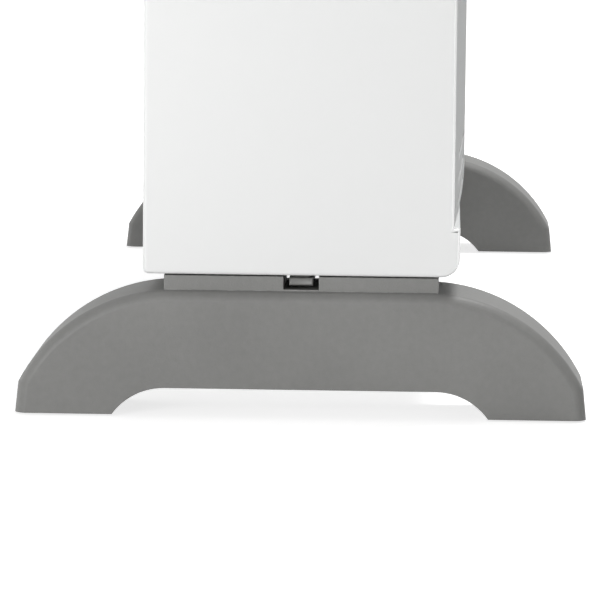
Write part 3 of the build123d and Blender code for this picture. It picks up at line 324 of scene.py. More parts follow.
def start_group(name, inputs, outputs):
    """New node group, with the sockets that give its inputs and take its results."""
    tree = bpy.data.node_groups.new(name, "ShaderNodeTree")
    for in_out, items in (("INPUT", inputs), ("OUTPUT", outputs)):
        for item in items:
            socket(tree, in_out, *item)
    given, result = tree.nodes.new("NodeGroupInput"), tree.nodes.new("NodeGroupOutput")
    return tree, given.outputs, result.inputs


def tone_group():
    """Slow and quick drift of a colour over the surface."""
    tree, given, result = start_group(
        "Tone drift",
        [("Vector", VECTOR), ("Colour", COLOUR, (0.5, 0.5, 0.5, 1)),
         ("Spread", FLOAT, 0.04, 0.0, 1.0), ("Scale", FLOAT, 12.0, 0.0)],
        [("Colour", COLOUR), ("Drift", FLOAT)])
    slow = noise(tree, given["Vector"], given["Scale"], 2.0)
    quick_scale = value_node(tree, "MULTIPLY", given["Scale"], 17.0)
    quick = noise(tree, given["Vector"], quick_scale, 4.0, 0.6)
    quick_share = value_node(tree, "MULTIPLY", quick, 0.35)
    blend = value_node(tree, "MULTIPLY_ADD", slow, 0.65, quick_share)
    low = value_node(tree, "SUBTRACT", 1.0, given["Spread"])
    high = value_node(tree, "ADD", 1.0, given["Spread"])
    factor = map_range(tree, blend, 0.25, 0.75, low, high)
    scaled = vector_node(tree, "SCALE", given["Colour"])
    tree.links.new(factor, scaled.inputs["Scale"])
    tree.links.new(scaled.outputs[0], result["Colour"])
    tree.links.new(blend, result["Drift"])
    return tree


def grain_group():
    """Fine relief of a moulding or a powder coat."""
    tree, given, result = start_group(
        "Fine grain",
        [("Vector", VECTOR), ("Scale", FLOAT, 900.0, 0.0), ("Coarse share", FLOAT, 0.3, 0.0, 1.0)],
        [("Height", FLOAT)])
    fine = noise(tree, given["Vector"], given["Scale"], 2.0, 0.6)
    coarse_scale = value_node(tree, "MULTIPLY", given["Scale"], 0.22)
    coarse = noise(tree, given["Vector"], coarse_scale, 1.0, 0.5)
    share = given["Coarse share"]
    rest = value_node(tree, "MULTIPLY", fine, value_node(tree, "SUBTRACT", 1.0, share))
    height = value_node(tree, "MULTIPLY_ADD", coarse, share, rest)
    tree.links.new(height, result["Height"])
    return tree


def edge_group():
    """Rounded normal at edges, and a patchy mask of the edges, which get rubbed wear and a painted
    highlight.
    """
    tree, given, result = start_group(
        "Rubbed edges",
        [("Vector", VECTOR), ("Radius", FLOAT, 0.0004, 0.0), ("Break up", FLOAT, 260.0, 0.0)],
        [("Normal", VECTOR), ("Mask", FLOAT)])
    bevel = tree.nodes.new("ShaderNodeBevel")
    bevel.samples = NEAR_SURFACE_SAMPLES
    tree.links.new(given["Radius"], bevel.inputs["Radius"])
    geometry = tree.nodes.new("ShaderNodeNewGeometry")
    dot = vector_node(tree, "DOT_PRODUCT", bevel.outputs[0], geometry.outputs["Normal"])
    turned = map_range(tree, dot.outputs["Value"], 0.995, 0.86, smooth=True)
    speckle = noise(tree, given["Vector"], given["Break up"], 4.0)
    patchy = map_range(tree, speckle, 0.4, 0.62)
    tree.links.new(bevel.outputs[0], result["Normal"])
    tree.links.new(value_node(tree, "MULTIPLY", turned, patchy), result["Mask"])
    return tree


def front_highlight_group():
    """Mask of the rounded faces that turn to the front, where a strong coat paints a highlight."""
    tree, _, result = start_group("Front rounding", [], [("Mask", FLOAT)])
    forward = map_range(tree, facing(tree, "Y"), -0.1, -0.4, smooth=True)
    tree.links.new(forward, result["Mask"])
    return tree


def dust_group():
    """Mask of dust that settles on faces that look up."""
    tree, given, result = start_group(
        "Settled dust",
        [("Vector", VECTOR), ("Amount", FLOAT, 0.2, 0.0, 1.0)],
        [("Mask", FLOAT)])
    upward = map_range(tree, facing(tree, "Z"), 0.6, 0.98, smooth=True)
    patch = map_range(tree, noise(tree, given["Vector"], 55.0, 5.0, 0.65), 0.35, 0.75)
    motes = map_range(tree, noise(tree, given["Vector"], 1400.0, 1.0), 0.5, 0.62)
    cover = value_node(tree, "MULTIPLY_ADD", motes, 0.5, value_node(tree, "MULTIPLY", patch, 0.5))
    tree.links.new(scaled_mask(tree, cover, upward, given["Amount"]), result["Mask"])
    return tree


def corner_shade_group():
    """Mask of painted shade that darkens corners and seams, taken from ambient occlusion."""
    tree, given, result = start_group(
        "Corner dirt",
        [("Vector", VECTOR), ("Reach", FLOAT, 0.003, 0.0), ("Amount", FLOAT, 0.3, 0.0, 1.0)],
        [("Mask", FLOAT)])
    shade = tree.nodes.new("ShaderNodeAmbientOcclusion")
    shade.samples = NEAR_SURFACE_SAMPLES
    tree.links.new(given["Reach"], shade.inputs["Distance"])
    closed = map_range(tree, shade.outputs["AO"], 0.75, 0.2, smooth=True)
    patch = map_range(tree, noise(tree, given["Vector"], 180.0, 4.0), 0.2, 0.6, 0.5, 1.0)
    tree.links.new(scaled_mask(tree, closed, patch, given["Amount"]), result["Mask"])
    return tree


def streak_group():
    """Drawn lines along one direction, for rolled, ground or extruded metal."""
    tree, given, result = start_group(
        "Drawn lines",
        [("Vector", VECTOR), ("Stretch", VECTOR, (4.0, 700.0, 700.0))],
        [("Height", FLOAT), ("Mask", FLOAT)])
    scaled = vector_node(tree, "MULTIPLY", given["Vector"], given["Stretch"])
    lines = noise(tree, scaled.outputs[0], 1.0, 3.0, 0.6)
    tree.links.new(lines, result["Height"])
    tree.links.new(map_range(tree, lines, 0.3, 0.7), result["Mask"])
    return tree


def spangle_group():
    """Zinc crystals of galvanised sheet."""
    tree, given, result = start_group(
        "Zinc spangle",
        [("Vector", VECTOR), ("Scale", FLOAT, 120.0, 0.0)],
        [("Mask", FLOAT), ("Height", FLOAT)])
    cells = tree.nodes.new("ShaderNodeTexVoronoi")
    tree.links.new(given["Vector"], cells.inputs["Vector"])
    tree.links.new(given["Scale"], cells.inputs["Scale"])
    split = tree.nodes.new("ShaderNodeSeparateColor")
    tree.links.new(cells.outputs["Color"], split.inputs[0])
    tree.links.new(split.outputs[0], result["Mask"])
    tree.links.new(cells.outputs["Distance"], result["Height"])
    return tree


GROUPS = {}


def group_node(tree, maker, **inputs):
    """Place a shared group, made on first use, in a material with its own values."""
    if maker not in GROUPS:
        GROUPS[maker] = maker()
    node = tree.nodes.new("ShaderNodeGroup")
    node.node_tree = GROUPS[maker]
    for name, value in inputs.items():
        plug(tree, value, node.inputs[name.replace("_", " ")])
    return node


# ---- materials


def new_material(name):
    """Empty material with a Principled shader and Object coordinates."""
    material = bpy.data.materials.new(name)
    material.use_nodes = True
    tree = material.node_tree
    shader = tree.nodes["Principled BSDF"]
    place = tree.nodes.new("ShaderNodeTexCoord")
    return material, tree, shader, place.outputs["Object"]


def surface(name, colour, rough, spread=0.03, tone_scale=9.0, grain=900.0, coarse=0.3,
            relief=0.00002, rough_drift=0.06, edge_radius=0.0004, edge_highlight_and_wear=0.0, dust=0.12,
            corner_shade_amount=0.25, corner_shade_reach=0.003, specular=0.5, coat_rough=None, coat_ior=1.5):
    """Painted or moulded surface with drift, grain, rubbed edges with a painted highlight, dust,
    painted shade in corners and, with a coat, a painted highlight on front faces.
    """
    material, tree, shader, where = new_material(name)
    tone = group_node(tree, tone_group, Vector=where, Colour=colour, Spread=spread,
                      Scale=tone_scale)
    fine = group_node(tree, grain_group, Vector=where, Scale=grain, Coarse_share=coarse)
    edge = group_node(tree, edge_group, Vector=where, Radius=edge_radius)
    dusty = group_node(tree, dust_group, Vector=where, Amount=dust)
    corner_shade_node = group_node(tree, corner_shade_group, Vector=where, Reach=corner_shade_reach, Amount=corner_shade_amount)
    # Edges turn lighter: rubbed wear, and a painted highlight along the edges.
    worn_highlit_colour = tuple(min(1.0, channel + edge_highlight_and_wear) for channel in colour)
    wear_and_highlight = value_node(tree, "MULTIPLY", edge.outputs["Mask"], RUB_AND_HIGHLIGHT_SHARE)
    shaded = mix_colour(tree, wear_and_highlight, tone.outputs["Colour"], worn_highlit_colour)
    # Corners and seams darken where ambient occlusion finds them closed in: painted shade.
    painted_shade_colour = tuple(channel * PAINTED_SHADE_FACTOR for channel in colour)
    shaded = mix_colour(tree, corner_shade_node.outputs["Mask"], shaded, painted_shade_colour)
    shaded = mix_colour(tree, dusty.outputs["Mask"], shaded, DUST_COLOUR)
    tree.links.new(shaded, shader.inputs["Base Color"])
    low, high = rough - rough_drift, rough + rough_drift
    drift = map_range(tree, tone.outputs["Drift"], 0.3, 0.7, low, high)
    rubbed = value_node(tree, "MULTIPLY_ADD", edge.outputs["Mask"], RUBBED_POLISH, drift)
    matt = value_node(tree, "MULTIPLY_ADD", dusty.outputs["Mask"], DUST_MATTNESS, rubbed,
                      clamp=True)
    tree.links.new(matt, shader.inputs["Roughness"])
    link_relief(tree, shader, fine.outputs["Height"], relief, edge.outputs["Normal"])
    shader.inputs["Specular IOR Level"].default_value = specular
    # A coat with a high IOR on faces that turn to the front paints a highlight along the caps'
    # front edges.
    if coat_rough is not None:
        tree.links.new(group_node(tree, front_highlight_group).outputs["Mask"], shader.inputs["Coat Weight"])
        shader.inputs["Coat Roughness"].default_value = coat_rough
        shader.inputs["Coat IOR"].default_value = coat_ior
    return material


def drawn_metal(name, colour, rough, stretch):
    """Bare metal with drawn lines."""
    material, tree, shader, where = new_material(name)
    tone = group_node(tree, tone_group, Vector=where, Colour=colour, Spread=0.05, Scale=20.0)
    lines = group_node(tree, streak_group, Vector=where, Stretch=stretch)
    edge = group_node(tree, edge_group, Vector=where, Radius=0.0002)
    dull = tuple(channel * 0.8 for channel in colour)
    dulled = value_node(tree, "MULTIPLY", lines.outputs["Mask"], 0.35)
    shaded = mix_colour(tree, dulled, tone.outputs["Colour"], dull)
    tree.links.new(shaded, shader.inputs["Base Color"])
    drift = map_range(tree, lines.outputs["Mask"], 0.0, 1.0, rough - 0.07, rough + 0.07)
    tree.links.new(drift, shader.inputs["Roughness"])
    link_relief(tree, shader, lines.outputs["Height"], 0.000012, edge.outputs["Normal"])
    shader.inputs["Metallic"].default_value = 1.0
    return material


def galvanised_metal(name):
    """Galvanised sheet with zinc crystals."""
    material, tree, shader, where = new_material(name)
    zinc = group_node(tree, spangle_group, Vector=where, Scale=120.0)
    edge = group_node(tree, edge_group, Vector=where, Radius=0.0002)
    shaded = mix_colour(tree, zinc.outputs["Mask"], (0.5, 0.52, 0.54), (0.68, 0.69, 0.7))
    tree.links.new(shaded, shader.inputs["Base Color"])
    matt = map_range(tree, zinc.outputs["Mask"], 0.0, 1.0, 0.34, 0.5)
    tree.links.new(matt, shader.inputs["Roughness"])
    link_relief(tree, shader, zinc.outputs["Height"], 0.00002, edge.outputs["Normal"])
    shader.inputs["Metallic"].default_value = 1.0
    return material


def lens_material(name):
    """Translucent amber lens with fine moulded ribs."""
    material, tree, shader, where = new_material(name)
    amber = (0.85, 0.26, 0.03)
    tone = group_node(tree, tone_group, Vector=where, Colour=amber, Spread=0.06, Scale=60.0)
    tree.links.new(tone.outputs["Colour"], shader.inputs["Base Color"])
    ribs = group_node(tree, streak_group, Vector=where, Stretch=(900.0, 900.0, 4.0))
    link_relief(tree, shader, ribs.outputs["Height"], 0.00003)
    gloss = map_range(tree, tone.outputs["Drift"], 0.2, 0.8, 0.1, 0.22)
    tree.links.new(gloss, shader.inputs["Roughness"])
    shader.inputs["Transmission Weight"].default_value = 0.55
    shader.inputs["IOR"].default_value = 1.49
    return material


def build_materials(colours):
    """Every finish by the record's slot name."""
    black, black_gloss = (0.028, 0.028, 0.028), (0.022, 0.022, 0.023)
    return {
        "white_paint": surface(
            "White powder coat", colours.white_paint, 0.5, spread=0.012, tone_scale=5.0,
            rough_drift=0.03, grain=420.0, coarse=0.5, relief=0.000012, edge_radius=0.0006,
            dust=0.05, corner_shade_amount=0.12, specular=0.0),
        "white_gloss": surface(
            "White moulding", colours.white_moulding, 0.36, spread=0.006, tone_scale=4.0,
            rough_drift=0.02, grain=240.0, coarse=0.6, relief=0.000004, edge_radius=0.001,
            dust=0.04, corner_shade_amount=0.1, coat_rough=0.15, coat_ior=3.2),
        # The feet's strong edge lightening is a painted highlight along their edges, with some
        # rubbed wear.
        "grey_plastic": surface(
            "Foot moulding", colours.foot_grey, 0.52, spread=0.12, tone_scale=22.0, grain=1300.0,
            coarse=0.45, relief=0.00016, edge_radius=0.0005, edge_highlight_and_wear=0.28, dust=0.1, corner_shade_amount=0.3,
            specular=0.35),
        "catch_plastic": surface(
            "Catch moulding", colours.catch_grey, 0.42, grain=1500.0, relief=0.00003,
            edge_highlight_and_wear=0.05, corner_shade_amount=0.4, corner_shade_reach=0.002),
        "pad_rubber": surface(
            "Pad rubber", (0.03, 0.03, 0.031), 0.75, spread=0.12, grain=1100.0, relief=0.00008,
            edge_highlight_and_wear=0.03, corner_shade_amount=0.3, specular=0.3),
        "grille_plastic": surface(
            "Grille moulding", colours.grille_grey, 0.48, tone_scale=18.0, grain=1500.0,
            relief=0.00005, edge_highlight_and_wear=0.04, dust=0.16, corner_shade_amount=0.35),
        "knob_plastic": surface(
            "Knob moulding", colours.knob_grey, 0.4, spread=0.04, grain=1700.0, relief=0.00003,
            edge_highlight_and_wear=0.05, corner_shade_amount=0.35, corner_shade_reach=0.002),
        "brown_plastic": surface(
            "Phenolic brown", (0.1, 0.055, 0.032), 0.38, spread=0.1, grain=700.0, edge_highlight_and_wear=0.06),
        "rocker_plastic": surface(
            "Rocker gloss black", black_gloss, 0.2, spread=0.05, relief=0.000006, edge_highlight_and_wear=0.04,
            dust=0.1),
        "switch_plastic": surface(
            "Switch black nylon", black, 0.45, spread=0.06, grain=1500.0, relief=0.00003,
            edge_highlight_and_wear=0.03),
        "lens_amber": lens_material("Amber lens"),
        "fin_aluminium": drawn_metal(
            "Extruded aluminium", (0.78, 0.78, 0.77), 0.34, (6.0, 900.0, 900.0)),
        "steel": drawn_metal("Zinc-plated steel", (0.6, 0.61, 0.62), 0.32, (300.0, 300.0, 300.0)),
        "ceramic": surface(
            "Cream ceramic", (0.78, 0.74, 0.66), 0.55, spread=0.05, grain=600.0, relief=0.00005),
        "galvanised": galvanised_metal("Galvanised sheet"),
        "terminal_plastic": surface("Natural nylon", (0.8, 0.79, 0.75), 0.4, grain=800.0),
        "wire_sleeve": surface(
            "Silicone sleeve", (0.4, 0.06, 0.04), 0.5, spread=0.06, grain=1600.0, relief=0.00004,
            specular=0.4),
        "bush_rubber": surface(
            "Bush rubber", (0.028, 0.028, 0.029), 0.65, spread=0.1, grain=1200.0, relief=0.00005,
            edge_highlight_and_wear=0.03, specular=0.35),
        "print": surface(
            "Dial print", colours.print_white, 0.5, grain=2200.0, relief=0.00001, dust=0.05,
            corner_shade_amount=0.0),
        "nylon_sleeve": surface(
            "Clear nylon sleeve", (0.66, 0.66, 0.6), 0.35, spread=0.05, grain=700.0),
    }


MATERIALS = {}


def finish(key):
    """A finish, made on first use."""
    if not MATERIALS:
        MATERIALS.update(build_materials(bpy.context.scene.heater_colours))
    return MATERIALS[key]


def set_material(thing, key):
    """Give an object one finish in all its slots."""
    material = finish(key)
    if not thing.data.materials:
        thing.data.materials.append(material)
    for index in range(len(thing.data.materials)):
        thing.data.materials[index] = material


# ---- mesh helpers


def mesh_data(name, mesh):
    """Turn a bmesh into mesh data."""
    data = bpy.data.meshes.new(name)
    mesh.to_mesh(data)
    mesh.free()
    return data


def add_object(name, data):
    """Put data into the scene as an object."""
    thing = bpy.data.objects.new(name, data)
    bpy.context.scene.collection.objects.link(thing)
    return thing


def evaluated_mesh(thing):
    """Mesh of an object as its modifiers or its curve make it."""
    bpy.context.view_layer.update()
    graph = bpy.context.evaluated_depsgraph_get()
    return bpy.data.meshes.new_from_object(thing.evaluated_get(graph))


def make_piece(name, mesh, body, key, smooth=None):
    """Turn a bmesh into a finished piece that rides on a body; edges past smooth stay sharp."""
    data = mesh_data(name, mesh)
    thing = add_object(name, data)
    set_material(thing, key)
    if smooth is not None:
        for face in data.polygons:
            face.use_smooth = True
        data.set_sharp_from_angle(angle=math.radians(smooth))
    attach(thing, body)
    return thing


def add_block(mesh, low, high, bevel=0.0, segments=1):
    """Box between two corners, with bevelled edges."""
    low, high = Vector(low), Vector(high)
    matrix = Matrix.Translation((low + high) / 2) @ Matrix.Diagonal((*(high - low), 1.0))
    made = bmesh.ops.create_cube(mesh, size=1.0, matrix=matrix)
    if bevel:
        edges = {edge for vertex in made["verts"] for edge in vertex.link_edges}
        bevel_edges(mesh, list(edges), bevel, segments)
    return made["verts"]


def bevel_edges(mesh, edges, offset, segments):
    """Round or chamfer some edges."""
    bmesh.ops.bevel(mesh, geom=edges, offset=offset, offset_type="OFFSET", affect="EDGES",
                    segments=segments, profile=0.5, material=-1)


def spin_profile(points, steps):
    """Body of revolution about Z from a half section of (radius, height) points."""
    mesh = bmesh.new()
    verts = [mesh.verts.new((x, 0.0, z)) for x, z in points]
    edges = [mesh.edges.new(pair) for pair in zip(verts, verts[1:])]
    bmesh.ops.spin(mesh, geom=verts + edges, cent=(0, 0, 0), axis=(0, 0, 1), angle=2 * math.pi,
                   steps=steps, use_merge=True)
    tidy_normals(mesh)
    return mesh


def add_text(text, size, thickness, matrix):
    """Mesh of a short mark, placed by a matrix; returns mesh data."""
    curve = bpy.data.curves.new("mark", "FONT")
    curve.body = text
    curve.size = size
    curve.align_x = "CENTER"
    curve.align_y = "CENTER"
    curve.extrude = thickness / 2
    curve.resolution_u = 6
    carrier = add_object("mark", curve)
    data = evaluated_mesh(carrier)
    bpy.data.objects.remove(carrier)
    bpy.data.curves.remove(curve)
    data.transform(matrix)
    return data


def join_mesh(mesh, data):
    """Add mesh data to a bmesh and drop the data."""
    mesh.from_mesh(data)
    bpy.data.meshes.remove(data)


def tidy_normals(mesh):
    """Merge doubles and point every face outwards."""
    bmesh.ops.remove_doubles(mesh, verts=mesh.verts, dist=WELD_DISTANCE)
    bmesh.ops.recalc_face_normals(mesh, faces=mesh.faces)


def merged_copy(node):
    """A node's own mesh with its corners merged and its flat areas made whole."""
    mesh = bmesh.new()
    mesh.from_mesh(frame["nodes"][node].data)
    bmesh.ops.remove_doubles(mesh, verts=mesh.verts, dist=MERGE_DISTANCE)
    bmesh.ops.dissolve_limit(mesh, angle_limit=FLAT_ANGLE, verts=mesh.verts, edges=mesh.edges)
    mesh.normal_update()
    return mesh


def round_chamfers(mesh, offset):
    """Round the 45-degree chamfers that run round the two end faces."""
    picked = []
    for edge in mesh.edges:
        turn = math.degrees(edge.calc_face_angle(0))
        slopes = [abs(face.normal.x) for face in edge.link_faces]
        sloped = any(CHAMFER_SLOPE[0] < slope < CHAMFER_SLOPE[1] for slope in slopes)
        if CHAMFER_TURN[0] < turn < CHAMFER_TURN[1] and sloped:
            picked.append(edge)
    bevel_edges(mesh, picked, offset, ROUNDING_SEGMENTS)


def weigh_normals(thing):
    """Let large faces keep their own direction where they run into a rounded edge."""
    change = thing.modifiers.new("normals", "WEIGHTED_NORMAL")
    change.keep_sharp = True
    change.weight = LARGE_FACE_WEIGHT
    baked = evaluated_mesh(thing)
    thing.modifiers.clear()
    thing.data = baked


# ---- pieces


def make_rounded(node, body, key, offset):
    """A node's shape with rounded edges in place of its chamfered ones."""
    mesh = merged_copy(node)
    round_chamfers(mesh, offset)
    piece = make_piece(node + "_moulding", mesh, body, key, smooth=SMOOTH_ROUNDING)
    weigh_normals(piece)
    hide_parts(node)


def make_catches(sizes):
    """Catch levers with a framed finger face in place of the plain ones."""
    for side, sign in zip(SIDES, (-1.0, 1.0)):
        node = "foot_catch_" + side
        mesh = merged_copy(node)
        tip = max(sign * vertex.co.x for vertex in mesh.verts) - 0.1 * MM
        outward = [face for face in mesh.faces if sign * face.normal.x > FACES_STRAIGHT_OUT]
        faces = [face for face in outward if sign * face.calc_center_median().x > tip]
        if not faces:
            raise RuntimeError("no finger face on " + node)
        bmesh.ops.inset_region(mesh, faces=faces, thickness=sizes.catch_frame,
                               depth=-CATCH_RECESS, use_boundary=True, use_even_offset=True)
        piece = make_piece(node + "_framed", mesh, "catch_" + side, "catch_plastic",
                           smooth=SMOOTH_CATCH)
        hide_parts(node)


def make_lens():
    """Smooth domed lens in place of the faceted one."""
    low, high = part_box("indicator_lens")
    middle = (low + high) / 2
    radius = (high.y - low.y) / 2
    panel = CASING_TOP
    dome = high.z - panel
    stem = radius * 0.86
    mesh = spin_profile([
        (0.0, high.z), (radius * 0.35, high.z - 0.06 * dome), (radius * 0.7, high.z - 0.3 * dome),
        (radius * 0.93, high.z - 0.68 * dome), (radius, panel + 0.1 * MM), (radius * 0.98, panel),
        (stem, panel), (stem, low.z), (0.0, low.z)], 48)
    place = Matrix.Translation((middle.x, middle.y, 0.0))
    bmesh.ops.transform(mesh, matrix=place, verts=mesh.verts)
    piece = make_piece("domed_lens", mesh, "casing", "lens_amber", smooth=SMOOTH_TURNED)
    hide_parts("indicator_lens")


def dial_angle(tick):
    """Direction of a tick, clockwise from the low end."""
    return math.radians(DIAL_START - DIAL_SWEEP * tick / DIAL_TICKS)


def make_dial(sizes):
    """Ticks and numbers printed round the knob's dish."""
    mesh = bmesh.new()
    minor_share = 0.55
    wide, narrow = 0.22 * MM, 0.14 * MM
    half = sizes.print_thickness / 2
    centre = Matrix.Translation((KNOB_MIDDLE.x, KNOB_MIDDLE.y, CASING_TOP + half))
    inner = sizes.dial_radius
    reach = inner + sizes.tick_length + 0.62 * sizes.digit_height
    for tick in range(DIAL_TICKS + 1):
        numbered = tick % TICKS_TO_A_NUMBER == 0
        length = sizes.tick_length * (1.0 if numbered else minor_share)
        width = wide if numbered else narrow
        made = add_block(mesh, (inner, -width, -half), (inner + length, width, half))
        turn = Matrix.Rotation(dial_angle(tick), 4, "Z")
        bmesh.ops.transform(mesh, matrix=centre @ turn, verts=made)
    for index, text in enumerate(DIAL_NUMBERS):
        angle = dial_angle(index * TICKS_TO_A_NUMBER)
        spot = Matrix.Translation((reach * math.cos(angle), reach * math.sin(angle), 0))
        join_mesh(mesh, add_text(text, sizes.digit_height, sizes.print_thickness, centre @ spot))
    make_piece("dial_marks", mesh, "casing", "print")


def knob_profile():
    """Grip radius and half section of the knob, from its top's centre round to its inside."""
    radius = (KNOB_HIGH.x - KNOB_LOW.x) / 2
    top, low = KNOB_HIGH.z, KNOB_LOW.z
    grip = radius - 1.6 * MM
    return grip, [
        (0.0, top - 1.1 * MM), (grip - 3.2 * MM, top - 1.1 * MM), (grip - 2.2 * MM, top - 0.2 * MM),
        (grip - 1.7 * MM, top), (grip - 0.9 * MM, top - 0.1 * MM), (grip, top - 0.9 * MM),
        (grip + 0.3 * MM, low + 3.2 * MM), (grip + 0.5 * MM, low + 2.4 * MM),
        (radius - 0.3 * MM, low + 1.7 * MM), (radius, low + 1.3 * MM), (radius, low + 0.3 * MM),
        (radius - 0.3 * MM, low), (radius - 1.6 * MM, low), (radius - 1.6 * MM, low + 1.5 * MM),
        (grip - 2.0 * MM, top - 3.0 * MM), (6.0 * MM, top - 3.0 * MM), (5.0 * MM, low + 3.0 * MM),
        (3.1 * MM, low + 3.0 * MM), (3.1 * MM, top - 2.6 * MM), (0.0, top - 2.6 * MM),
    ]


def make_knob(sizes):
    """Knob with a fluted grip, a skirt and a dished top with its pointer bar."""
    grip, points = knob_profile()
    steps_to_a_flute = 6
    flute_depth = 0.75 * MM
    mesh = spin_profile(points, sizes.knob_flutes * steps_to_a_flute)
    low, high = KNOB_LOW.z + 2.5 * MM, KNOB_HIGH.z - 0.7 * MM
    for vertex in mesh.verts:
        reach = math.hypot(vertex.co.x, vertex.co.y)
        if reach > grip - 0.1 * MM and low < vertex.co.z < high:
            angle = math.atan2(vertex.co.y, vertex.co.x)
            wave = 0.5 - 0.5 * math.cos(sizes.knob_flutes * angle)
            factor = 1.0 - flute_depth * wave ** 2 / reach
            vertex.co.x *= factor
            vertex.co.y *= factor
    place = Matrix.Translation((KNOB_MIDDLE.x, KNOB_MIDDLE.y, 0.0))
    bmesh.ops.transform(mesh, matrix=place, verts=mesh.verts)
    knob = make_piece("fluted_knob", mesh, "knob", "knob_plastic", smooth=SMOOTH_TURNED)
    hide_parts("thermostat_knob")
    bar = bmesh.new()
    half = 0.8 * MM
    add_block(bar, (3.5 * MM, -half, KNOB_HIGH.z - 1.3 * MM),
              (grip - 2.4 * MM, half, KNOB_HIGH.z - 0.15 * MM), bevel=0.25 * MM, segments=2)
    turn = place @ Matrix.Rotation(dial_angle(0), 4, "Z")
    bmesh.ops.transform(bar, matrix=turn, verts=bar.verts)
    make_piece("knob_pointer", bar, "knob", "print", smooth=SMOOTH_TURNED)


def make_rocker_marks(sizes):
    """Power marks printed on the two rockers."""
    from_middle, mark_height = 4.3 * MM, 3.4 * MM
    for body, on_mark in (("rocker_low", "I"), ("rocker_high", "II")):
        low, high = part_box(body)
        middle = (low + high) / 2
        pivot = Matrix.Translation((middle.x, middle.y, CASING_TOP - PIVOT_DROP))
        mesh = bmesh.new()
        for side, text in ((-1, "O"), (1, on_mark)):
            turn = Matrix.Rotation(ROCKER_REST_TILT - side * ROCKER_FACE_TILT, 4, "X")
            height = ROCKER_FACE_HEIGHT + sizes.print_thickness / 2
            place = pivot @ turn @ Matrix.Translation((0, side * from_middle, height))
            join_mesh(mesh, add_text(text, mark_height, sizes.print_thickness, place))
        make_piece(body + "_marks", mesh, body, "print")


def screw_mesh():
    """One pan-head screw pointing down -Z, with a cross recess."""
    radius, height, shank, length = SCREW_RADIUS, SCREW_HEIGHT, 1.45 * MM, 9.0 * MM
    screw = spin_profile([
        (0.0, height), (radius * 0.45, height), (radius * 0.75, height * 0.88),
        (radius * 0.93, height * 0.62), (radius, height * 0.3), (radius, 0.0), (shank, 0.0),
        (shank, -length * 0.8), (shank * 0.3, -length), (0.0, -length)], 32)
    floor, crown, reach, width = height - 1.0 * MM, height + 1.0 * MM, 1.5 * MM, 0.33 * MM
    recess = bmesh.new()
    add_block(recess, (-reach, -width, floor), (reach, width, crown))
    add_block(recess, (-width, -reach, floor), (width, reach, crown))
    return cut_mesh(mesh_data("screw", screw), mesh_data("recess", recess))


def cut_mesh(data, cutter_data):
    """Subtract one closed mesh from another."""
    thing = add_object("stock", data)
    cutter = add_object("cutter", cutter_data)
    change = thing.modifiers.new("cut", "BOOLEAN")
    change.operation = "DIFFERENCE"
    change.solver = "EXACT"
    change.use_self = True
    change.object = cutter
    result = evaluated_mesh(thing)
    for item in (thing, cutter):
        bpy.data.objects.remove(item)
    return result


def make_screws():
    """Cross-head screws in place of the plain ones."""
    stock = screw_mesh()
    turn_back = Matrix.Rotation(-math.pi / 2, 4, "X")
    for index, node in enumerate(("screws_cap_left", "screws_cap_right", "screws_tray")):
        low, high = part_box(node)
        middle = (low + high) / 2
        inset = Vector((SCREW_RADIUS, 0, SCREW_RADIUS))
        mesh = bmesh.new()
        for spot, place in enumerate((low + inset, middle, high - inset)):
            place.y = high.y - SCREW_HEIGHT
            turn = Matrix.Rotation(0.7 * spot + 0.4 * index, 4, "Z")
            copy = stock.copy()
            copy.transform(Matrix.Translation(place) @ turn_back @ turn)
            join_mesh(mesh, copy)
        piece = make_piece(node + "_cross_head", mesh, "casing", "steel", smooth=SMOOTH_FITTING)
        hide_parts(node)
    bpy.data.meshes.remove(stock)


def make_pad_treads(sizes):
    """Rubber pads with tread ribs in place of the plain ones."""
    length, tread, margin = 22.0 * MM, 0.7 * MM, 1.0 * MM
    pitch = length / sizes.pad_ribs
    half_rib = 0.32 * pitch
    for side in SIDES:
        node = "foot_pads_" + side
        low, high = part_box(node)
        base = low.z + tread
        mesh = bmesh.new()
        for start in (low.y, high.y - length):
            add_block(mesh, (low.x, start, base), (high.x, start + length, high.z),
                      bevel=0.3 * MM, segments=2)
            for index in range(sizes.pad_ribs):
                y = start + (index + 0.5) * pitch
                add_block(mesh, (low.x + margin, y - half_rib, low.z),
                          (high.x - margin, y + half_rib, base + 0.3 * MM), bevel=0.2 * MM)
        piece = make_piece(node + "_tread", mesh, "foot_" + side, "pad_rubber",
                           smooth=SMOOTH_FITTING)
        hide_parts(node)


def make_sleeves():
    """Nylon sleeves over the wired spade tabs."""
    tabs = []
    for node, shares in (("switch_housing_low", (0.5,)), ("switch_housing_high", (0.5,)),
                         ("thermostat_body", (0.25, 0.75))):
        low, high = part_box(node)
        tabs += [Vector(((low.x + high.x) / 2, low.y + share * (high.y - low.y), low.z))
                 for share in shares]
    mesh = bmesh.new()
    for tab in tabs:
        add_block(mesh, tab - Vector((4.0, 2.0, 5.0)) * MM, tab + Vector((4.0, 2.0, 6.2)) * MM,
                  bevel=0.7 * MM, segments=3)
    make_piece("spade_sleeves", mesh, "casing", "nylon_sleeve",
               smooth=SMOOTH_FITTING)


def make_terminal_screws():
    """Clamp screws in the terminal block's wells."""
    low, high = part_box("terminal_block")
    pitch, inset, sunk = 12.0 * MM, 13.0 * MM, 2.6 * MM
    mesh = bmesh.new()
    for step in (-1, 0, 1):
        middle = Vector(((low.x + high.x) / 2 + step * pitch, low.y + inset, high.z - sunk))
        bmesh.ops.create_cone(mesh, cap_ends=True, segments=24, radius1=2.0 * MM,
                              radius2=1.8 * MM, depth=2.4 * MM, matrix=Matrix.Translation(middle))
        add_block(mesh, middle + Vector((-1.7, -0.25, 1.1)) * MM,
                  middle + Vector((1.7, 0.25, 1.3)) * MM)
    make_piece("terminal_screws", mesh, "casing", "steel", smooth=SMOOTH_FITTING)


# ---- stage


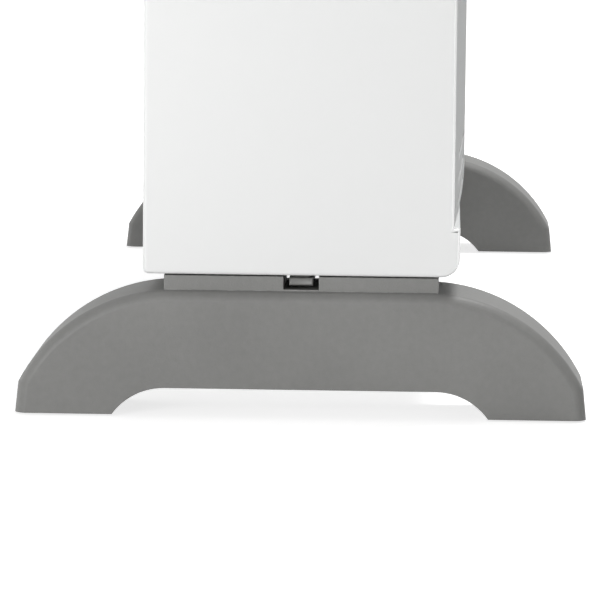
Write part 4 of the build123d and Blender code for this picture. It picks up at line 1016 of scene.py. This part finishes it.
def floor_material(glow_share):
    """White floor that keeps the object's shadow and is plain white further off."""
    material, tree, shader, where = new_material("Studio floor")
    tone = group_node(tree, tone_group, Vector=where, Colour=FLOOR_TONE, Spread=0.01, Scale=0.6)
    tree.links.new(tone.outputs["Colour"], shader.inputs["Base Color"])
    shader.inputs["Roughness"].default_value = 0.9
    shader.inputs["Specular IOR Level"].default_value = 0.1
    glow = tree.nodes.new("ShaderNodeEmission")
    glow.inputs["Color"].default_value = (1, 1, 1, 1)
    distance = vector_node(tree, "LENGTH", where).outputs["Value"]
    share = map_range(tree, distance, FLOOR_NEAR, FLOOR_FAR, glow_share, 1.0, True)
    seen = seen_directly(tree)
    tree.links.new(value_node(tree, "MULTIPLY", seen, share), glow.inputs["Strength"])
    both = tree.nodes.new("ShaderNodeAddShader")
    tree.links.new(shader.outputs[0], both.inputs[0])
    tree.links.new(glow.outputs[0], both.inputs[1])
    tree.links.new(both.outputs[0], tree.nodes["Material Output"].inputs["Surface"])
    return material


def make_floor(stage):
    """Large flat floor."""
    mesh = bmesh.new()
    bmesh.ops.create_grid(mesh, x_segments=8, y_segments=8, size=stage.floor_half)
    floor = add_object("studio_floor", mesh_data("studio_floor", mesh))
    floor.data.materials.append(floor_material(stage.floor_glow))


def make_world(stage):
    """Plain ambient light, seen as white by the camera and in reflections."""
    world = bpy.data.worlds.new("studio")
    bpy.context.scene.world = world
    world.use_nodes = True
    tree = world.node_tree
    background = tree.nodes["Background"]
    background.inputs["Color"].default_value = (1, 1, 1, 1)
    strength = map_range(tree, seen_directly(tree), 0.0, 1.0, stage.ambient, 1.0)
    tree.links.new(strength, background.inputs["Strength"])


def make_lamp(name, place, target, size, power):
    """Rectangular area lamp that looks at a point."""
    data = bpy.data.lights.new(name, "AREA")
    data.shape = "RECTANGLE"
    data.size, data.size_y = size
    data.energy = power
    lamp = add_object(name, data)
    lamp.location = place
    lamp.rotation_euler = (Vector(target) - Vector(place)).to_track_quat("-Z", "Y").to_euler()
    lamp.visible_camera = False


def make_camera(stage):
    """Camera at the photograph's viewing angle."""
    data = bpy.data.cameras.new("camera")
    data.sensor_width = 36.0
    data.lens = stage.lens
    data.clip_start = 0.05
    data.clip_end = 60.0
    camera = add_object("camera", data)
    camera.location = stage.camera_place
    pitch, yaw = stage.camera_pitch, stage.camera_yaw
    level = math.cos(pitch)
    look = Vector((level * math.cos(yaw), level * math.sin(yaw), -math.sin(pitch)))
    roll = Matrix.Rotation(stage.camera_roll, 4, "Z")
    turn = look.to_track_quat("-Z", "Y").to_matrix().to_4x4() @ roll
    camera.rotation_euler = turn.to_euler()
    bpy.context.scene.camera = camera


# ---- operators


class HEATER_OT_finishes(bpy.types.Operator):
    """Give every part of the frame its finish."""

    bl_idname = "heater.finishes"
    bl_label = "Finishes"

    def execute(self, context):
        slots = {part["node"]: part["material_slot"] for part in frame["record"]["subparts"]}
        for name, thing in frame["nodes"].items():
            set_material(thing, slots[name])
        return {"FINISHED"}


class HEATER_OT_feet(bpy.types.Operator):
    """Make the feet with rounded edges."""

    bl_idname = "heater.feet"
    bl_label = "Feet"

    def execute(self, context):
        rounding = context.scene.heater_fittings.foot_rounding
        for side in SIDES:
            make_rounded("foot_" + side, "foot_" + side, "grey_plastic", rounding)
        return {"FINISHED"}


class HEATER_OT_caps(bpy.types.Operator):
    """Make the end caps with rounded edges."""

    bl_idname = "heater.caps"
    bl_label = "End caps"

    def execute(self, context):
        rounding = context.scene.heater_fittings.cap_rounding
        for side in SIDES:
            make_rounded("end_cap_" + side, "casing", "white_gloss", rounding)
        return {"FINISHED"}


class HEATER_OT_catches(bpy.types.Operator):
    """Make the framed catch levers."""

    bl_idname = "heater.catches"
    bl_label = "Catches"

    def execute(self, context):
        make_catches(context.scene.heater_fittings)
        return {"FINISHED"}


class HEATER_OT_lens(bpy.types.Operator):
    """Make the domed indicator lens."""

    bl_idname = "heater.lens"
    bl_label = "Indicator lens"

    def execute(self, context):
        make_lens()
        return {"FINISHED"}


class HEATER_OT_dial(bpy.types.Operator):
    """Print the dial's ticks and numbers."""

    bl_idname = "heater.dial"
    bl_label = "Dial marks"

    def execute(self, context):
        make_dial(context.scene.heater_fittings)
        return {"FINISHED"}


class HEATER_OT_knob(bpy.types.Operator):
    """Make the fluted knob and its pointer."""

    bl_idname = "heater.knob"
    bl_label = "Knob"

    def execute(self, context):
        make_knob(context.scene.heater_fittings)
        return {"FINISHED"}


class HEATER_OT_rocker_marks(bpy.types.Operator):
    """Print the rockers' power marks."""

    bl_idname = "heater.rocker_marks"
    bl_label = "Rocker marks"

    def execute(self, context):
        make_rocker_marks(context.scene.heater_fittings)
        return {"FINISHED"}


class HEATER_OT_screws(bpy.types.Operator):
    """Make the cross-head screws."""

    bl_idname = "heater.screws"
    bl_label = "Screws"

    def execute(self, context):
        make_screws()
        return {"FINISHED"}


class HEATER_OT_pads(bpy.types.Operator):
    """Make the ribbed rubber pads."""

    bl_idname = "heater.pads"
    bl_label = "Rubber pads"

    def execute(self, context):
        make_pad_treads(context.scene.heater_fittings)
        return {"FINISHED"}


class HEATER_OT_wiring(bpy.types.Operator):
    """Make the spade sleeves and the terminal screws."""

    bl_idname = "heater.wiring"
    bl_label = "Wiring fittings"

    def execute(self, context):
        make_sleeves()
        make_terminal_screws()
        return {"FINISHED"}


class HEATER_OT_stage(bpy.types.Operator):
    """Set the floor, the light and the camera."""

    bl_idname = "heater.stage"
    bl_label = "Stage"

    def execute(self, context):
        stage = context.scene.heater_stage
        make_floor(stage)
        make_world(stage)
        for name, place, target, size, power in LAMPS:
            make_lamp(name, place, target, size, getattr(stage, power))
        make_camera(stage)
        context.scene.view_settings.view_transform = "Standard"
        return {"FINISHED"}


class HEATER_PT_sidebar(bpy.types.Panel):
    """Steps that dress the heater."""

    bl_label = "Heater"
    bl_idname = "HEATER_PT_sidebar"
    bl_space_type = "VIEW_3D"
    bl_region_type = "UI"
    bl_category = "Heater"

    def draw(self, context):
        for operator in STEPS:
            self.layout.operator(operator.bl_idname)
        scene = context.scene
        for settings in (scene.heater_colours, scene.heater_fittings, scene.heater_stage):
            box = self.layout.box()
            for name in settings.__annotations__:
                box.prop(settings, name)


STEPS = (
    HEATER_OT_finishes, HEATER_OT_feet, HEATER_OT_caps, HEATER_OT_catches, HEATER_OT_lens,
    HEATER_OT_dial, HEATER_OT_knob, HEATER_OT_rocker_marks, HEATER_OT_screws, HEATER_OT_pads,
    HEATER_OT_wiring, HEATER_OT_stage,
)
SETTINGS = (FinishColours, FittingSizes, StageSettings)


def register():
    """Register the settings, the steps and the panel."""
    for item in SETTINGS + STEPS + (HEATER_PT_sidebar,):
        bpy.utils.register_class(item)
    bpy.types.Scene.heater_colours = PointerProperty(type=FinishColours)
    bpy.types.Scene.heater_fittings = PointerProperty(type=FittingSizes)
    bpy.types.Scene.heater_stage = PointerProperty(type=StageSettings)


def unregister():
    """Take them away again."""
    for name in ("heater_colours", "heater_fittings", "heater_stage"):
        delattr(bpy.types.Scene, name)
    for item in reversed(SETTINGS + STEPS + (HEATER_PT_sidebar,)):
        bpy.utils.unregister_class(item)


def main():
    """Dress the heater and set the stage."""
    register()
    bpy.ops.heater.finishes()
    bpy.ops.heater.feet()
    bpy.ops.heater.caps()
    bpy.ops.heater.catches()
    bpy.ops.heater.lens()
    bpy.ops.heater.dial()
    bpy.ops.heater.knob()
    bpy.ops.heater.rocker_marks()
    bpy.ops.heater.screws()
    bpy.ops.heater.pads()
    bpy.ops.heater.wiring()
    bpy.ops.heater.stage()


if __name__ == "__main__":
    main()
